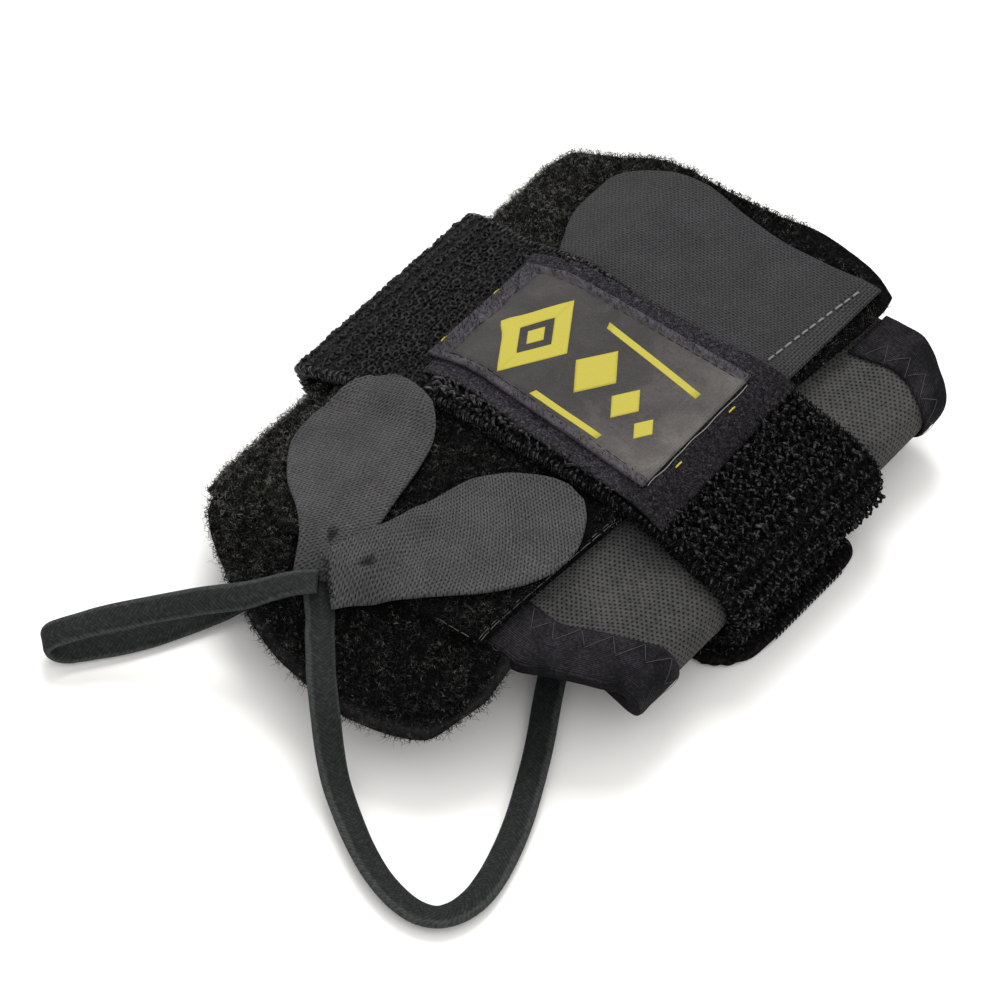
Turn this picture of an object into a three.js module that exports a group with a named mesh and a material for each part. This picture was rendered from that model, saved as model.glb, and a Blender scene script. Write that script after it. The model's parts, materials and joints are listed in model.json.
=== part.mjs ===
// Wrist support glove lying on a table: a flattened wrist tube of soft loop
// fabric and elastic, a knitted band wrapped one and a half times round it,
// two hook tabs on finger cords and a labelled patch.
// Millimetres, X across the wrist, Y along it, Z up from the table.
import * as THREE from 'three';

// Where the middle of the outline lies in the layout that the tables use.
const middle = { x: -1.1, y: -12 };

// The hollow that the wrist goes through, flattened: the convex outline of
// four round bars, seen along Y.
const hollow = [
  { name: 'right fold', x: 48.5, z: 12.7, radius: 1 },
  { name: 'left fold', x: -50.5, z: 13.7, radius: 2 },
  { name: 'top left shoulder', x: -22, z: 14.2, radius: 6 },
  { name: 'top right shoulder', x: 26, z: 14.2, radius: 6 },
];
const guideOffset = 5; // lengths round the tube are measured this far outside the hollow

// Distances outside the hollow of each layer's under and outer face.
const layer = {
  base: { under: 0.2, outer: 2.7 },
  elasticLow: { under: 0.2, outer: 2.4 },
  elasticHigh: { under: 3.05, outer: 5.2 },
  flap: { under: 3.05, outer: 5.5 },
  hookTab: { under: 5.8, outer: 7.2 },
  bandInner: { under: 5.9, outer: 8.7 },
  bandOuter: { under: 9.05, outer: 11.7 },
  patch: { under: 9.0, outer: 10.2 },
  label: { under: 10.5, outer: 11.1 },
};
const bindingThickness = 0.8;
const seamGap = 0.3;
// Steps inwards from the elastic's edges across each binding, to its full width.
const bindingSteps = { near: [4.2, 8.4, 12.5], far: [4.2, 8.5] };

// The left side is pressed flatter, and the wing at the near end hangs down.
const press = { from: -16, to: -54, share: 0.23 };
const droop = { from: -62, over: 30, depth: 9.5, floorZ: 7, fullZ: 19 };

const fingerTab = { thickness: 1.8, length: 62, halfWidth: 15.6 };
const cord = { width: 6.2, thickness: 2.0 };

const colour = {
  loopFabric: 0x262624,
  elastic: 0x4d4c4b,
  binding: 0x2b282d,
  hook: 0x4b4b4d,
  knit: 0x1b1b1c,
  patch: 0x2c2a30,
  label: 0x4a4644,
  cord: 0x35383a,
};

const smooth = (t) => {
  const c = Math.min(1, Math.max(0, t));
  return c * c * (3 - 2 * c);
};

// Value of a column between the rows of a table, without overshoot.
function track(rows, along, column) {
  const slope = rows.slice(1).map((row, i) => (row[column] - rows[i][column]) / (row[along] - rows[i][along]));
  const lean = rows.map((row, i) => {
    if (i === 0) return slope[0];
    if (i === rows.length - 1) return slope[slope.length - 1];
    return slope[i - 1] * slope[i] <= 0 ? 0 : (2 * slope[i - 1] * slope[i]) / (slope[i - 1] + slope[i]);
  });
  return (at) => {
    if (at <= rows[0][along]) return rows[0][column];
    const last = rows[rows.length - 1];
    if (at >= last[along]) return last[column];
    const i = rows.findIndex((row, k) => k > 0 && at <= row[along]) - 1;
    const step = rows[i + 1][along] - rows[i][along];
    const t = (at - rows[i][along]) / step;
    const a = rows[i][column];
    const b = rows[i + 1][column];
    return a * (1 + 2 * t) * (1 - t) ** 2 + lean[i] * step * t * (1 - t) ** 2
      + b * t * t * (3 - 2 * t) + lean[i + 1] * step * t * t * (t - 1);
  };
}

// Straight runs and bends of the outline: along the bottom from right to
// left, round the left fold, over the top and round the right fold.
function outlineRuns(bars) {
  const next = (i) => bars[(i + 1) % bars.length];
  const facing = bars.map((bar, i) => {
    const dx = next(i).x - bar.x;
    const dz = next(i).z - bar.z;
    return Math.atan2(dz, dx) + Math.acos((bar.radius - next(i).radius) / Math.hypot(dx, dz));
  });
  const runs = [];
  let from = 0;
  bars.forEach((bar, i) => {
    const end = next(i);
    const side = { x: Math.cos(facing[i]), z: Math.sin(facing[i]) };
    const start = { x: bar.x + (bar.radius + guideOffset) * side.x, z: bar.z + (bar.radius + guideOffset) * side.z };
    const stop = { x: end.x + (end.radius + guideOffset) * side.x, z: end.z + (end.radius + guideOffset) * side.z };
    const length = Math.hypot(stop.x - start.x, stop.z - start.z);
    runs.push({ kind: 'straight', from, length, start, stop, facing: facing[i] });
    from += length;
    const full = 2 * Math.PI;
    const turn = (((facing[i] - facing[(i + 1) % bars.length]) % full) + full) % full;
    const bend = (end.radius + guideOffset) * turn;
    runs.push({ kind: 'bend', from, length: bend, centre: end, facing: facing[i], turn });
    from += bend;
  });
  return runs;
}
const runs = outlineRuns(hollow);
const lastRun = runs[runs.length - 1];
const girth = lastRun.from + lastRun.length;

// Point of the section at a length round the tube and an offset from the hollow.
function sectionPoint(round, offset) {
  const at = round >= girth ? round - girth : round;
  const run = runs.find((r) => at < r.from + r.length) ?? lastRun;
  const t = (at - run.from) / run.length;
  if (run.kind === 'straight') {
    const out = offset - guideOffset;
    return {
      x: run.start.x + (run.stop.x - run.start.x) * t + out * Math.cos(run.facing),
      z: run.start.z + (run.stop.z - run.start.z) * t + out * Math.sin(run.facing),
    };
  }
  const angle = run.facing - run.turn * t;
  const reach = run.centre.radius + offset;
  return { x: run.centre.x + reach * Math.cos(angle), z: run.centre.z + reach * Math.sin(angle) };
}

function place(round, y, offset) {
  const p = sectionPoint(round, offset);
  const pressed = p.z * (1 - press.share * smooth((press.from - p.x) / (press.from - press.to)));
  const hang = droop.depth * smooth((droop.from - y) / droop.over)
    * smooth((pressed - droop.floorZ) / (droop.fullZ - droop.floorZ));
  return new THREE.Vector3(p.x, y, pressed - hang);
}

// Length round the tube where the top, or the bottom, is at x.
const bottomAt = (x) => hollow[0].x - x;
function topAt(x) {
  let low = runs[1].from + runs[1].length / 2;
  let high = lastRun.from + lastRun.length / 2;
  for (let i = 0; i < 40; i += 1) {
    const mid = (low + high) / 2;
    if (sectionPoint(mid, guideOffset).x < x) low = mid;
    else high = mid;
  }
  return (low + high) / 2;
}

// Stations round the tube: close on the bends, wider on the straights.
function stations(from, to, extra = []) {
  const marks = [from, to, ...extra];
  for (const turnOffset of [0, girth]) {
    for (const run of runs) {
      const count = Math.ceil(run.length / (run.kind === 'bend' ? 2.4 : 6.5));
      for (let i = 0; i < count; i += 1) marks.push(turnOffset + run.from + (run.length * i) / count);
    }
  }
  const sorted = marks.filter((m) => m >= from && m <= to).sort((a, b) => a - b);
  const kept = sorted.filter((m, i) => i === 0 || m - sorted[i - 1] > 0.6);
  kept[kept.length - 1] = to;
  return kept;
}

// A closed body from a grid of points on its under and outer faces.
function slab(columns, rows, point) {
  const position = [];
  const index = [];
  const across = rows + 1;
  const layerSize = (columns + 1) * across;
  for (const face of [0, 1]) {
    for (let i = 0; i <= columns; i += 1) {
      for (let j = 0; j <= rows; j += 1) position.push(...point(i, j, face).toArray());
    }
  }
  const at = (i, j, face) => face * layerSize + i * across + j;
  const quad = (a, b, c, d) => index.push(a, b, c, a, c, d);
  for (let i = 0; i < columns; i += 1) {
    for (let j = 0; j < rows; j += 1) {
      quad(at(i, j, 1), at(i, j + 1, 1), at(i + 1, j + 1, 1), at(i + 1, j, 1));
      quad(at(i, j, 0), at(i + 1, j, 0), at(i + 1, j + 1, 0), at(i, j + 1, 0));
    }
    quad(at(i, 0, 0), at(i, 0, 1), at(i + 1, 0, 1), at(i + 1, 0, 0));
    quad(at(i, rows, 0), at(i + 1, rows, 0), at(i + 1, rows, 1), at(i, rows, 1));
  }
  for (let j = 0; j < rows; j += 1) {
    quad(at(0, j, 0), at(0, j + 1, 0), at(0, j + 1, 1), at(0, j, 1));
    quad(at(columns, j, 0), at(columns, j, 1), at(columns, j + 1, 1), at(columns, j + 1, 0));
  }
  return closed(position, index);
}

// Geometry of a closed body, with its faces turned outwards.
function closed(position, index) {
  const corner = (k) => new THREE.Vector3().fromArray(position, 3 * k);
  let volume = 0;
  for (let k = 0; k < index.length; k += 3) {
    volume += corner(index[k]).dot(corner(index[k + 1]).cross(corner(index[k + 2]))) / 6;
  }
  if (volume < 0) {
    for (let k = 0; k < index.length; k += 3) [index[k + 1], index[k + 2]] = [index[k + 2], index[k + 1]];
  }
  const geometry = new THREE.BufferGeometry();
  geometry.setAttribute('position', new THREE.Float32BufferAttribute(position, 3));
  geometry.setIndex(index);
  geometry.computeVertexNormals();
  return geometry;
}

const glove = new THREE.Group();
glove.position.set(-middle.x, -middle.y, 0);

function add(name, geometry, tint, roughness) {
  const mesh = new THREE.Mesh(geometry, new THREE.MeshStandardMaterial({ color: tint, roughness, metalness: 0 }));
  mesh.name = name;
  glove.add(mesh);
}

// Loop fabric base: from under the wrist round the left fold and over the top,
// with a wing that hangs out past the near end.
const wingEdge = [
  { x: -58, near: -58 }, { x: -52.8, near: -65.8 }, { x: -46.3, near: -72.6 }, { x: -37.4, near: -78.6 },
  { x: -23, near: -86.4 }, { x: -11.9, near: -90.5 }, { x: -3.5, near: -92 }, { x: 6.8, near: -93.8 },
  { x: 14.6, near: -92.8 }, { x: 21.7, near: -90.6 }, { x: 26.7, near: -87.6 }, { x: 29.4, near: -83 },
  { x: 32.4, near: -75 },
];
const base = {
  bottomRight: 10, topRight: 21, wingRight: 32.4, wingFrom: -67.8, wingTo: -70,
  bottomNear: -61, hinge: -55, far: 56.6,
};
{
  const { under, outer } = layer.base;
  const near = track(wingEdge, 'x', 'near');
  const from = bottomAt(base.bottomRight);
  const marks = stations(from, topAt(base.wingRight), [topAt(24), topAt(27)]);
  const shrink = (topAt(base.topRight) - from) / (topAt(base.wingRight) - from);
  const closeRows = 9;
  const farRows = 6;
  add('loop_base_panel', slab(marks.length - 1, closeRows + farRows, (i, j, face) => {
    const x = sectionPoint(marks[i], guideOffset).x;
    const onTop = marks[i] > runs[2].from - 8;
    const edge = onTop ? near(x) : base.bottomNear;
    const fold = smooth((marks[i] - runs[1].from) / runs[1].length);
    const start = marks[i] < runs[2].from ? THREE.MathUtils.lerp(base.bottomNear, -58, fold) : edge;
    const even = THREE.MathUtils.lerp(start, base.hinge, j / closeRows);
    const toWing = j < 7 ? THREE.MathUtils.lerp(start, base.wingTo, j / 6) : [base.wingFrom, -62, base.hinge][j - 7];
    const y = j <= closeRows
      ? THREE.MathUtils.lerp(even, toWing, onTop ? smooth((x + 40) / 15) : 0)
      : THREE.MathUtils.lerp(base.hinge, base.far, (j - closeRows) / farRows);
    const narrow = smooth((y - base.wingTo) / (base.wingFrom - base.wingTo));
    const round = from + (marks[i] - from) * THREE.MathUtils.lerp(1, shrink, narrow);
    return place(round, y, face ? outer : under);
  }), colour.loopFabric, 0.95);
}

// Elastic panel: from under the flap's right edge round the right fold and
// back under the wrist. Both ends carry a folded binding.
const elastic = { topLeft: 22, bottomLeft: -45, riseFrom: 33.5, riseTo: 45 };
const elasticRound = { from: topAt(elastic.topLeft), to: girth + bottomAt(elastic.bottomLeft) };
const elasticEnds = [
  { round: topAt(22), near: -66.2, far: 59.8 },
  { round: topAt(32), near: -65.8, far: 60 },
  { round: topAt(38), near: -63.2, far: 60.6 },
  { round: topAt(43), near: -61, far: 60.4 },
  { round: topAt(48), near: -58, far: 58.4 },
  { round: topAt(52), near: -55.4, far: 55.5 },
  { round: girth - 7, near: -53.6, far: 53 },
  { round: girth + 1, near: -51.2, far: 53.5 },
  { round: girth + 8, near: -50, far: 54.3 },
  { round: girth + 16, near: -52, far: 55 },
  { round: girth + 30, near: -55, far: 57 },
  { round: girth + 93.5, near: -57, far: 58 },
];
const elasticNear = track(elasticEnds, 'round', 'near');
const elasticFar = track(elasticEnds, 'round', 'far');
// The far binding narrows towards the fold: share of its steps.
const farBindingShare = track([
  { round: topAt(34), share: 1.6 }, { round: topAt(43), share: 1.38 }, { round: topAt(50), share: 1.06 },
  { round: girth - 7, share: 0.8 },
], 'round', 'share');
function elasticOffset(round, share) {
  const rise = smooth((round - topAt(elastic.riseFrom)) / (topAt(elastic.riseTo) - topAt(elastic.riseFrom)));
  const low = THREE.MathUtils.lerp(layer.elasticLow.under, layer.elasticLow.outer, share);
  const high = THREE.MathUtils.lerp(layer.elasticHigh.under, layer.elasticHigh.outer, share);
  return THREE.MathUtils.lerp(low, high, rise);
}
{
  const marks = stations(elasticRound.from, elasticRound.to);
  const nearRows = [0, ...bindingSteps.near];
  const farRows = [...bindingSteps.far].reverse();
  const middleRows = 3;
  const rows = nearRows.length + farRows.length + middleRows - 1;
  add('elastic_side_panel', slab(marks.length - 1, rows, (i, j, face) => {
    const near = elasticNear(marks[i]);
    const far = elasticFar(marks[i]);
    const farShare = farBindingShare(marks[i]);
    const from = near + nearRows[nearRows.length - 1];
    const to = far - farRows[0] * farShare;
    const k = j - nearRows.length + 1;
    let y = THREE.MathUtils.lerp(from, to, k / middleRows);
    if (k < 0) y = near + nearRows[j];
    if (k > middleRows) y = k - middleRows < farRows.length ? far - farRows[k - middleRows] * farShare : far;
    return place(marks[i], y, elasticOffset(marks[i], face));
  }), colour.elastic, 0.85);
}

// A binding is a strip folded over the elastic's edge: the corners of a U,
// carried round the fold.
function binding(name, edge, inward, steps, startX, share = () => 1) {
  const stopX = 11.2;
  const marks = stations(topAt(startX), girth + bottomAt(stopX));
  const skin = seamGap + bindingThickness;
  const inner = steps.slice(0, -1);
  const face = (list, share, out) => list.map((y) => ({ y, share, out }));
  const corner = [
    ...face([-skin, ...steps], 1, skin), ...face([...steps].reverse(), 1, seamGap),
    { y: -seamGap, share: 1, out: seamGap }, { y: -seamGap, share: 0, out: -seamGap },
    ...face(inner, 0, -seamGap), ...face([...inner].reverse(), 0, -skin), { y: -skin, share: 0, out: -skin },
  ];
  const position = [];
  const index = [];
  marks.forEach((round) => {
    corner.forEach((c) => {
      const y = edge(round) + inward * (c.y > 0 ? c.y * share(round) : c.y);
      position.push(...place(round, y, elasticOffset(round, c.share) + c.out).toArray());
    });
  });
  const n = corner.length;
  const web = 2 * steps.length + 1;
  for (let i = 0; i + 1 < marks.length; i += 1) {
    for (let k = 0; k < n; k += 1) {
      const a = i * n + k;
      const b = i * n + ((k + 1) % n);
      // The web's inner face shares its diagonals with the elastic's end.
      if (k === web) index.push(a, b, a + n, b, b + n, a + n);
      else index.push(a, b, b + n, a, b + n, a + n);
    }
  }
  // End caps: strips across the outer flange, the web and the inner flange.
  const turn = steps.length;
  const last = (marks.length - 1) * n;
  const capQuad = (a, b, c, d) => {
    index.push(a, c, b, a, d, c, last + a, last + b, last + c, last + a, last + c, last + d);
  };
  for (let k = 0; k < turn; k += 1) capQuad(k, k + 1, 2 * turn - k, 2 * turn + 1 - k);
  capQuad(0, web, web + 1, n - 1);
  for (let k = 0; k < inner.length; k += 1) capQuad(web + 1 + k, web + 2 + k, n - 2 - k, n - 1 - k);
  add(name, closed(position, index), colour.binding, 0.9);
}
binding('near_edge_binding', elasticNear, 1, bindingSteps.near, 26.6);
binding('far_edge_binding', elasticFar, -1, bindingSteps.far, 34.6, farBindingShare);

// Loop flap on top of the base: its left edge leaves the base bare at the
// near corner and goes round the fold at the far one.
const flapLeft = [
  { y: -70, x: -26 }, { y: -66.8, x: -31 }, { y: -63, x: -37 }, { y: -58.5, x: -41.5 },
  { y: -52, x: -45 }, { y: -43, x: -47 }, { y: -10, x: -50 }, { y: 31, x: -56 }, { y: 58, x: -57 },
  { y: 64, x: -54.6 }, { y: 67, x: -50.6 },
];
const flapRight = [
  { y: -70, x: 25.3 }, { y: -33, x: 26.6 }, { y: 28, x: 32.4 }, { y: 60, x: 34 }, { y: 67, x: 32.5 },
];
const flapFar = [
  { s: 0, far: 64 }, { s: 0.08, far: 67 }, { s: 0.2, far: 69.6 }, { s: 0.42, far: 67.4 },
  { s: 0.6, far: 68 }, { s: 0.72, far: 69.8 }, { s: 0.88, far: 68.2 }, { s: 1, far: 64.8 },
];
{
  const { under, outer } = layer.flap;
  const left = track(flapLeft, 'y', 'x');
  const right = track(flapRight, 'y', 'x');
  const far = track(flapFar, 's', 'far');
  const columns = 23;
  const closeRows = 7;
  const farRows = 9;
  add('loop_top_flap', slab(columns, closeRows + farRows, (i, j, face) => {
    const s = (i / columns) ** 1.3;
    const nearEdge = -69.7 + 1.4 * smooth((0.3 - s) / 0.3);
    const y = j <= closeRows
      ? THREE.MathUtils.lerp(nearEdge, -44, (j / closeRows) ** 1.4)
      : THREE.MathUtils.lerp(-44, far(s), 1 - (1 - (j - closeRows) / farRows) ** 1.15);
    const from = topAt(left(y));
    return place(from + (topAt(right(y)) - from) * s, y, face ? outer : under);
  }), colour.loopFabric, 0.95);
}

// Knitted band: starts flat on the table at the right, goes under the tube,
// round the left fold, over the top, round the right fold and in underneath.
const bandEdges = [
  { round: -11.8, near: -16, far: 11 }, { round: -10.6, near: -22, far: 15.5 }, { round: -8, near: -26.5, far: 17.4 },
  { round: -3, near: -29.3, far: 18 }, { round: 40, near: -29.5, far: 22 }, { round: 88, near: -27, far: 32 },
  { round: 108, near: -24, far: 36 }, { round: topAt(-55), near: -27.5, far: 33.5 },
  { round: topAt(-46), near: -26, far: 31.8 }, { round: topAt(-30), near: -24.9, far: 29.5 },
  { round: topAt(-8), near: -24.6, far: 26.6 }, { round: topAt(36), near: -24.8, far: 26.6 },
  { round: topAt(53), near: -25.5, far: 26.9 }, { round: girth + 6, near: -25, far: 26.5 },
  { round: girth + 89, near: -24, far: 26 },
];
const bandNear = track(bandEdges, 'round', 'near');
const bandFar = track(bandEdges, 'round', 'far');
{
  const marks = stations(bandEdges[0].round, bandEdges[bandEdges.length - 1].round, [-10.6, -8, -4, 92, 108, 130]);
  const rows = 5;
  const inward = (round) => smooth((round - 91) / 36);
  add('knit_wrap_band', slab(marks.length - 1, rows, (i, j, face) => {
    const side = face ? 'outer' : 'under';
    const offset = THREE.MathUtils.lerp(layer.bandOuter[side], layer.bandInner[side], inward(marks[i]));
    const y = THREE.MathUtils.lerp(bandNear(marks[i]), bandFar(marks[i]), j / rows);
    return place(marks[i], y, offset);
  }), colour.knit, 0.95);
}

// Hook tab that closes the wrap, on the far part of the flap: a round head at
// the left and a neck that widens to a straight stitched end at the right.
const closureEdges = [
  { x: -39.6, near: 47.5, far: 57 }, { x: -38.2, near: 42, far: 60.2 }, { x: -35.5, near: 36.5, far: 62.2 },
  { x: -32, near: 30.6, far: 63.6 }, { x: -26, near: 29.9, far: 64.6 }, { x: -18, near: 28.6, far: 64.6 },
  { x: -4, near: 27.2, far: 62 }, { x: 8, near: 27.1, far: 60.6 }, { x: 20, near: 27.1, far: 61.2 },
  { x: 30.8, near: 27.6, far: 62.8 },
];
{
  const near = track(closureEdges, 'x', 'near');
  const far = track(closureEdges, 'x', 'far');
  const columns = 18;
  const rows = 6;
  const { under, outer } = layer.hookTab;
  const head = closureEdges[0].x;
  const end = closureEdges[closureEdges.length - 1].x;
  add('hook_closure_tab', slab(columns, rows, (i, j, face) => {
    const x = THREE.MathUtils.lerp(head, end, (i / columns) ** 1.45);
    const y = THREE.MathUtils.lerp(near(x), far(x), j / rows);
    return place(topAt(x), y, face ? outer : under);
  }), colour.hook, 0.8);
}

// Patch and woven label on the band's top, each between its four corners.
const patchCorners = {
  nearLeft: [-31, -18.4], nearRight: [35.8, -24.2], farLeft: [-35.2, 25.5], farRight: [33.4, 26],
};
const labelCorners = {
  nearLeft: [-33.2, -13.8], nearRight: [27.4, -19.2], farLeft: [-33, 21], farRight: [26.8, 20.4],
};
function fourCornered(name, corners, { under, outer }, tint, roughness) {
  const columns = 14;
  const rows = 5;
  add(name, slab(columns, rows, (i, j, face) => {
    const [x, y] = [0, 1].map((k) => THREE.MathUtils.lerp(
      THREE.MathUtils.lerp(corners.nearLeft[k], corners.nearRight[k], i / columns),
      THREE.MathUtils.lerp(corners.farLeft[k], corners.farRight[k], i / columns),
      j / rows,
    ));
    return place(topAt(x), y, face ? outer : under);
  }), tint, roughness);
}
fourCornered('label_patch', patchCorners, layer.patch, colour.patch, 0.95);
fourCornered('woven_label', labelCorners, layer.label, colour.label, 0.6);

// Hook tabs of the finger cords: round heads that narrow to a neck.
const tabShape = [
  { at: 0, half: 0.34 }, { at: 0.12, half: 0.44 }, { at: 0.3, half: 0.64 }, { at: 0.5, half: 0.9 },
  { at: 0.68, half: 1 }, { at: 0.82, half: 0.86 }, { at: 0.92, half: 0.58 }, { at: 0.97, half: 0.36 },
  { at: 1, half: 0.14 },
];
const leftTabAxis = [
  { x: -15.2, y: -72.6 }, { x: -17.6, y: -64 }, { x: -26.3, y: -48.2 }, { x: -32.2, y: -36.6 },
  { x: -38.9, y: -22.9 },
];
const rightTabAxis = [
  { x: -11, y: -75.2 }, { x: -3.4, y: -66.6 }, { x: 3.8, y: -57.2 }, { x: 10.6, y: -44.4 }, { x: 16.4, y: -26 },
];
// The left one's head lies on the band's edge, and the right one's neck on the left one's.
const overFlap = (y) => layer.flap.outer + 0.35 - 2.7 * smooth((-70.4 - y) / 8);
const leftTabOffset = (x, y) => overFlap(y) + 3.2 * smooth((y + 35) / 8.5);
const rightTabOffset = (x, y) => overFlap(y)
  + (fingerTab.thickness + 0.35) * smooth((1 - x) / 6) * smooth((-47 - y) / 7);
function fingerTabBody(name, axis, offsetAt) {
  const half = track(tabShape, 'at', 'half');
  const line = new THREE.CatmullRomCurve3(axis.map((a) => new THREE.Vector3(a.x, a.y, 0)));
  const columns = 22;
  const rows = 6;
  add(name, slab(columns, rows, (i, j, face) => {
    const at = i / columns;
    const centre = line.getPointAt(at);
    const ahead = line.getTangentAt(at);
    const reach = fingerTab.halfWidth * half(at) * (1 - (2 * j) / rows);
    const x = centre.x - ahead.y * reach;
    const y = centre.y + ahead.x * reach;
    return place(topAt(x), y, offsetAt(x, y) + (face ? fingerTab.thickness : 0));
  }), colour.hook, 0.8);
}
fingerTabBody('finger_tab_left', leftTabAxis, leftTabOffset);
fingerTabBody('finger_tab_right', rightTabAxis, rightTabOffset);

// A finger cord is a flat elastic. Heading is where its width points, turned
// from +X towards +Y, and tilt is how far that edge is lifted.
class FlatCurve extends THREE.CatmullRomCurve3 {
  constructor(route) {
    super(route.map((r) => new THREE.Vector3(r.x, r.y, r.z)), false, 'centripetal');
    this.route = route;
  }

  computeFrenetFrames(segments) {
    const tangents = [];
    const normals = [];
    const binormals = [];
    const last = this.route.length - 1;
    for (let i = 0; i <= segments; i += 1) {
      const tangent = this.getTangentAt(i / segments);
      const along = this.getUtoTmapping(i / segments) * last;
      const k = Math.min(last - 1, Math.floor(along));
      const [heading, tilt] = ['heading', 'tilt'].map((column) => THREE.MathUtils.degToRad(
        THREE.MathUtils.lerp(this.route[k][column], this.route[k + 1][column], smooth(along - k)),
      ));
      const level = Math.cos(tilt);
      const width = new THREE.Vector3(Math.cos(heading) * level, Math.sin(heading) * level, Math.sin(tilt));
      width.addScaledVector(tangent, -width.dot(tangent)).normalize();
      tangents.push(tangent);
      normals.push(width);
      binormals.push(new THREE.Vector3().crossVectors(tangent, width));
    }
    return { tangents, normals, binormals };
  }
}

const route = (rows) => rows.map(([x, y, z, heading, tilt]) => ({ x, y, z, heading, tilt }));
const frontRoute = route([
  [-13.9, -74.8, 20.8, -138, 0], [-11.3, -77.8, 19.4, -142, 0], [-8.7, -80.4, 18.3, -143, 0],
  [-6.6, -83.2, 17.5, -141, 0], [-3.6, -86.6, 16.6, -139, 0],
  [-0.5, -90.2, 16, -138, 0], [3.1, -93.9, 15.7, -134, -3], [6.4, -97.1, 13.6, -133, -2],
  [9.6, -100, 9, -131, 6], [14.1, -103.6, 5, -126, 12], [20.8, -108, 3.1, -122, 15],
  [27.9, -112.3, 2.6, -118, 18], [35.3, -115.8, 2.3, -110, 18], [42.4, -117.7, 2.1, -99, 14],
  [47.3, -117.7, 1.9, -80, 11], [51, -116.2, 1.9, -51, 11], [53.2, -112.9, 1.8, -21, 8],
  [54.1, -108, 1.7, -1, 4], [53.4, -101.9, 1.5, 12, 0], [51.2, -93.8, 1.5, 18, 0],
  [48.4, -86.3, 1.6, 23, 4], [45.1, -79.1, 1.8, 26, 6], [41.5, -71.9, 1.9, 27, 8],
  [38.3, -66, 2, 29, 8], [34.6, -59.6, 2.5, 29, 4], [30.8, -52.6, 3.2, 27, 0],
  [27.3, -45.2, 3.8, 25, 0], [24, -38, 4.2, 25, 0],
]);
// The side loop is folded under itself at its far end.
const sideRoute = route([
  [-12.7, -76.2, 23.3, 122, 2], [-16.8, -79.1, 22.3, 120, 6], [-20.2, -81.7, 20.7, 121, 10],
  [-24.7, -85, 18.2, 123, 20], [-29.6, -88, 16.3, 124, 24], [-33.2, -90.3, 15, 126, 23],
  [-37.8, -93.7, 13.3, 129, 20], [-41.6, -96.8, 12, 132, 18], [-46.3, -101, 10.6, 135, 16],
  [-49.3, -104.1, 9.8, 138, 14], [-51.9, -107.4, 9.1, 140, 12], [-54.4, -110.4, 8.3, 141, 12],
  [-56.2, -112.1, 7.1, 141, 12], [-57, -112.8, 5.3, 141, 12], [-56.2, -112.1, 3.4, 141, 12],
  [-54.4, -110.4, 2.2, 141, 12], [-52.2, -107.8, 2, 141, 14], [-49.5, -104.5, 2, 142, 16],
  [-46.8, -101.2, 2.1, 144, 18], [-43.2, -95.7, 2.1, 149, 18], [-40.1, -89.7, 2.1, 153, 16],
  [-38.1, -85.5, 2.1, 154, 13], [-35.9, -80.8, 2.3, 156, 9], [-33.6, -75, 3, 159, 4],
  [-30.6, -66.5, 3.8, 161, 0], [-27.6, -57.5, 4.6, 163, 0], [-24.8, -48.5, 4.9, 165, 0],
  [-23, -42, 4.9, 166, 0],
]);
const flatSection = new THREE.Shape();
for (let k = 0; k < 8; k += 1) {
  const turn = ((k + 0.5) * Math.PI) / 4;
  const reach = 1 / Math.cos(Math.PI / 8);
  const x = (cord.width / 2) * Math.cos(turn) * reach;
  const y = (cord.thickness / 2) * Math.sin(turn) * reach;
  if (k === 0) flatSection.moveTo(x, y);
  else flatSection.lineTo(x, y);
}
flatSection.closePath();
function fingerCord(name, rows, steps) {
  add(name, new THREE.ExtrudeGeometry(flatSection, {
    steps, bevelEnabled: false, extrudePath: new FlatCurve(rows),
  }), colour.cord, 0.9);
}
fingerCord('finger_cord_front', frontRoute, 44);
fingerCord('finger_cord_side', sideRoute, 48);

export default glove;
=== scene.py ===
import json
import math

import bmesh
import bpy
import numpy as np
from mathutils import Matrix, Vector

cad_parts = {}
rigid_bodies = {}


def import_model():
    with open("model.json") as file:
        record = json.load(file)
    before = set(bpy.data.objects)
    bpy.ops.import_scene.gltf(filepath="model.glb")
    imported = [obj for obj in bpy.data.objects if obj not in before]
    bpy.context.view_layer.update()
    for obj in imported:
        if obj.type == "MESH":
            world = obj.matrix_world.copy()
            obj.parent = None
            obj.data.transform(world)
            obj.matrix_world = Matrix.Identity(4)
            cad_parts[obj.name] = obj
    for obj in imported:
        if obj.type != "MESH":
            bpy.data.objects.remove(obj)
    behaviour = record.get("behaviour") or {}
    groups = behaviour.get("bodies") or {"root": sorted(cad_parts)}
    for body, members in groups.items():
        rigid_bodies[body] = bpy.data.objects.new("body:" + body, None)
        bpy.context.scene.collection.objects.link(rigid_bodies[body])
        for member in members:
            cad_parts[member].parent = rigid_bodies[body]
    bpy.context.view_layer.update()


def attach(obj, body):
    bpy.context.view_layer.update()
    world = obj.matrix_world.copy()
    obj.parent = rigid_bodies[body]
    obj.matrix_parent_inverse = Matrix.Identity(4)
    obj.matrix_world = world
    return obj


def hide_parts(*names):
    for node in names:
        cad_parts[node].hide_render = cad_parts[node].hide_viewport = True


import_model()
print("frame loaded")

# middle of the glove's outline in the pattern's own layout
middle = np.array([-1.1, -12.0, 0.0])

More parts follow.
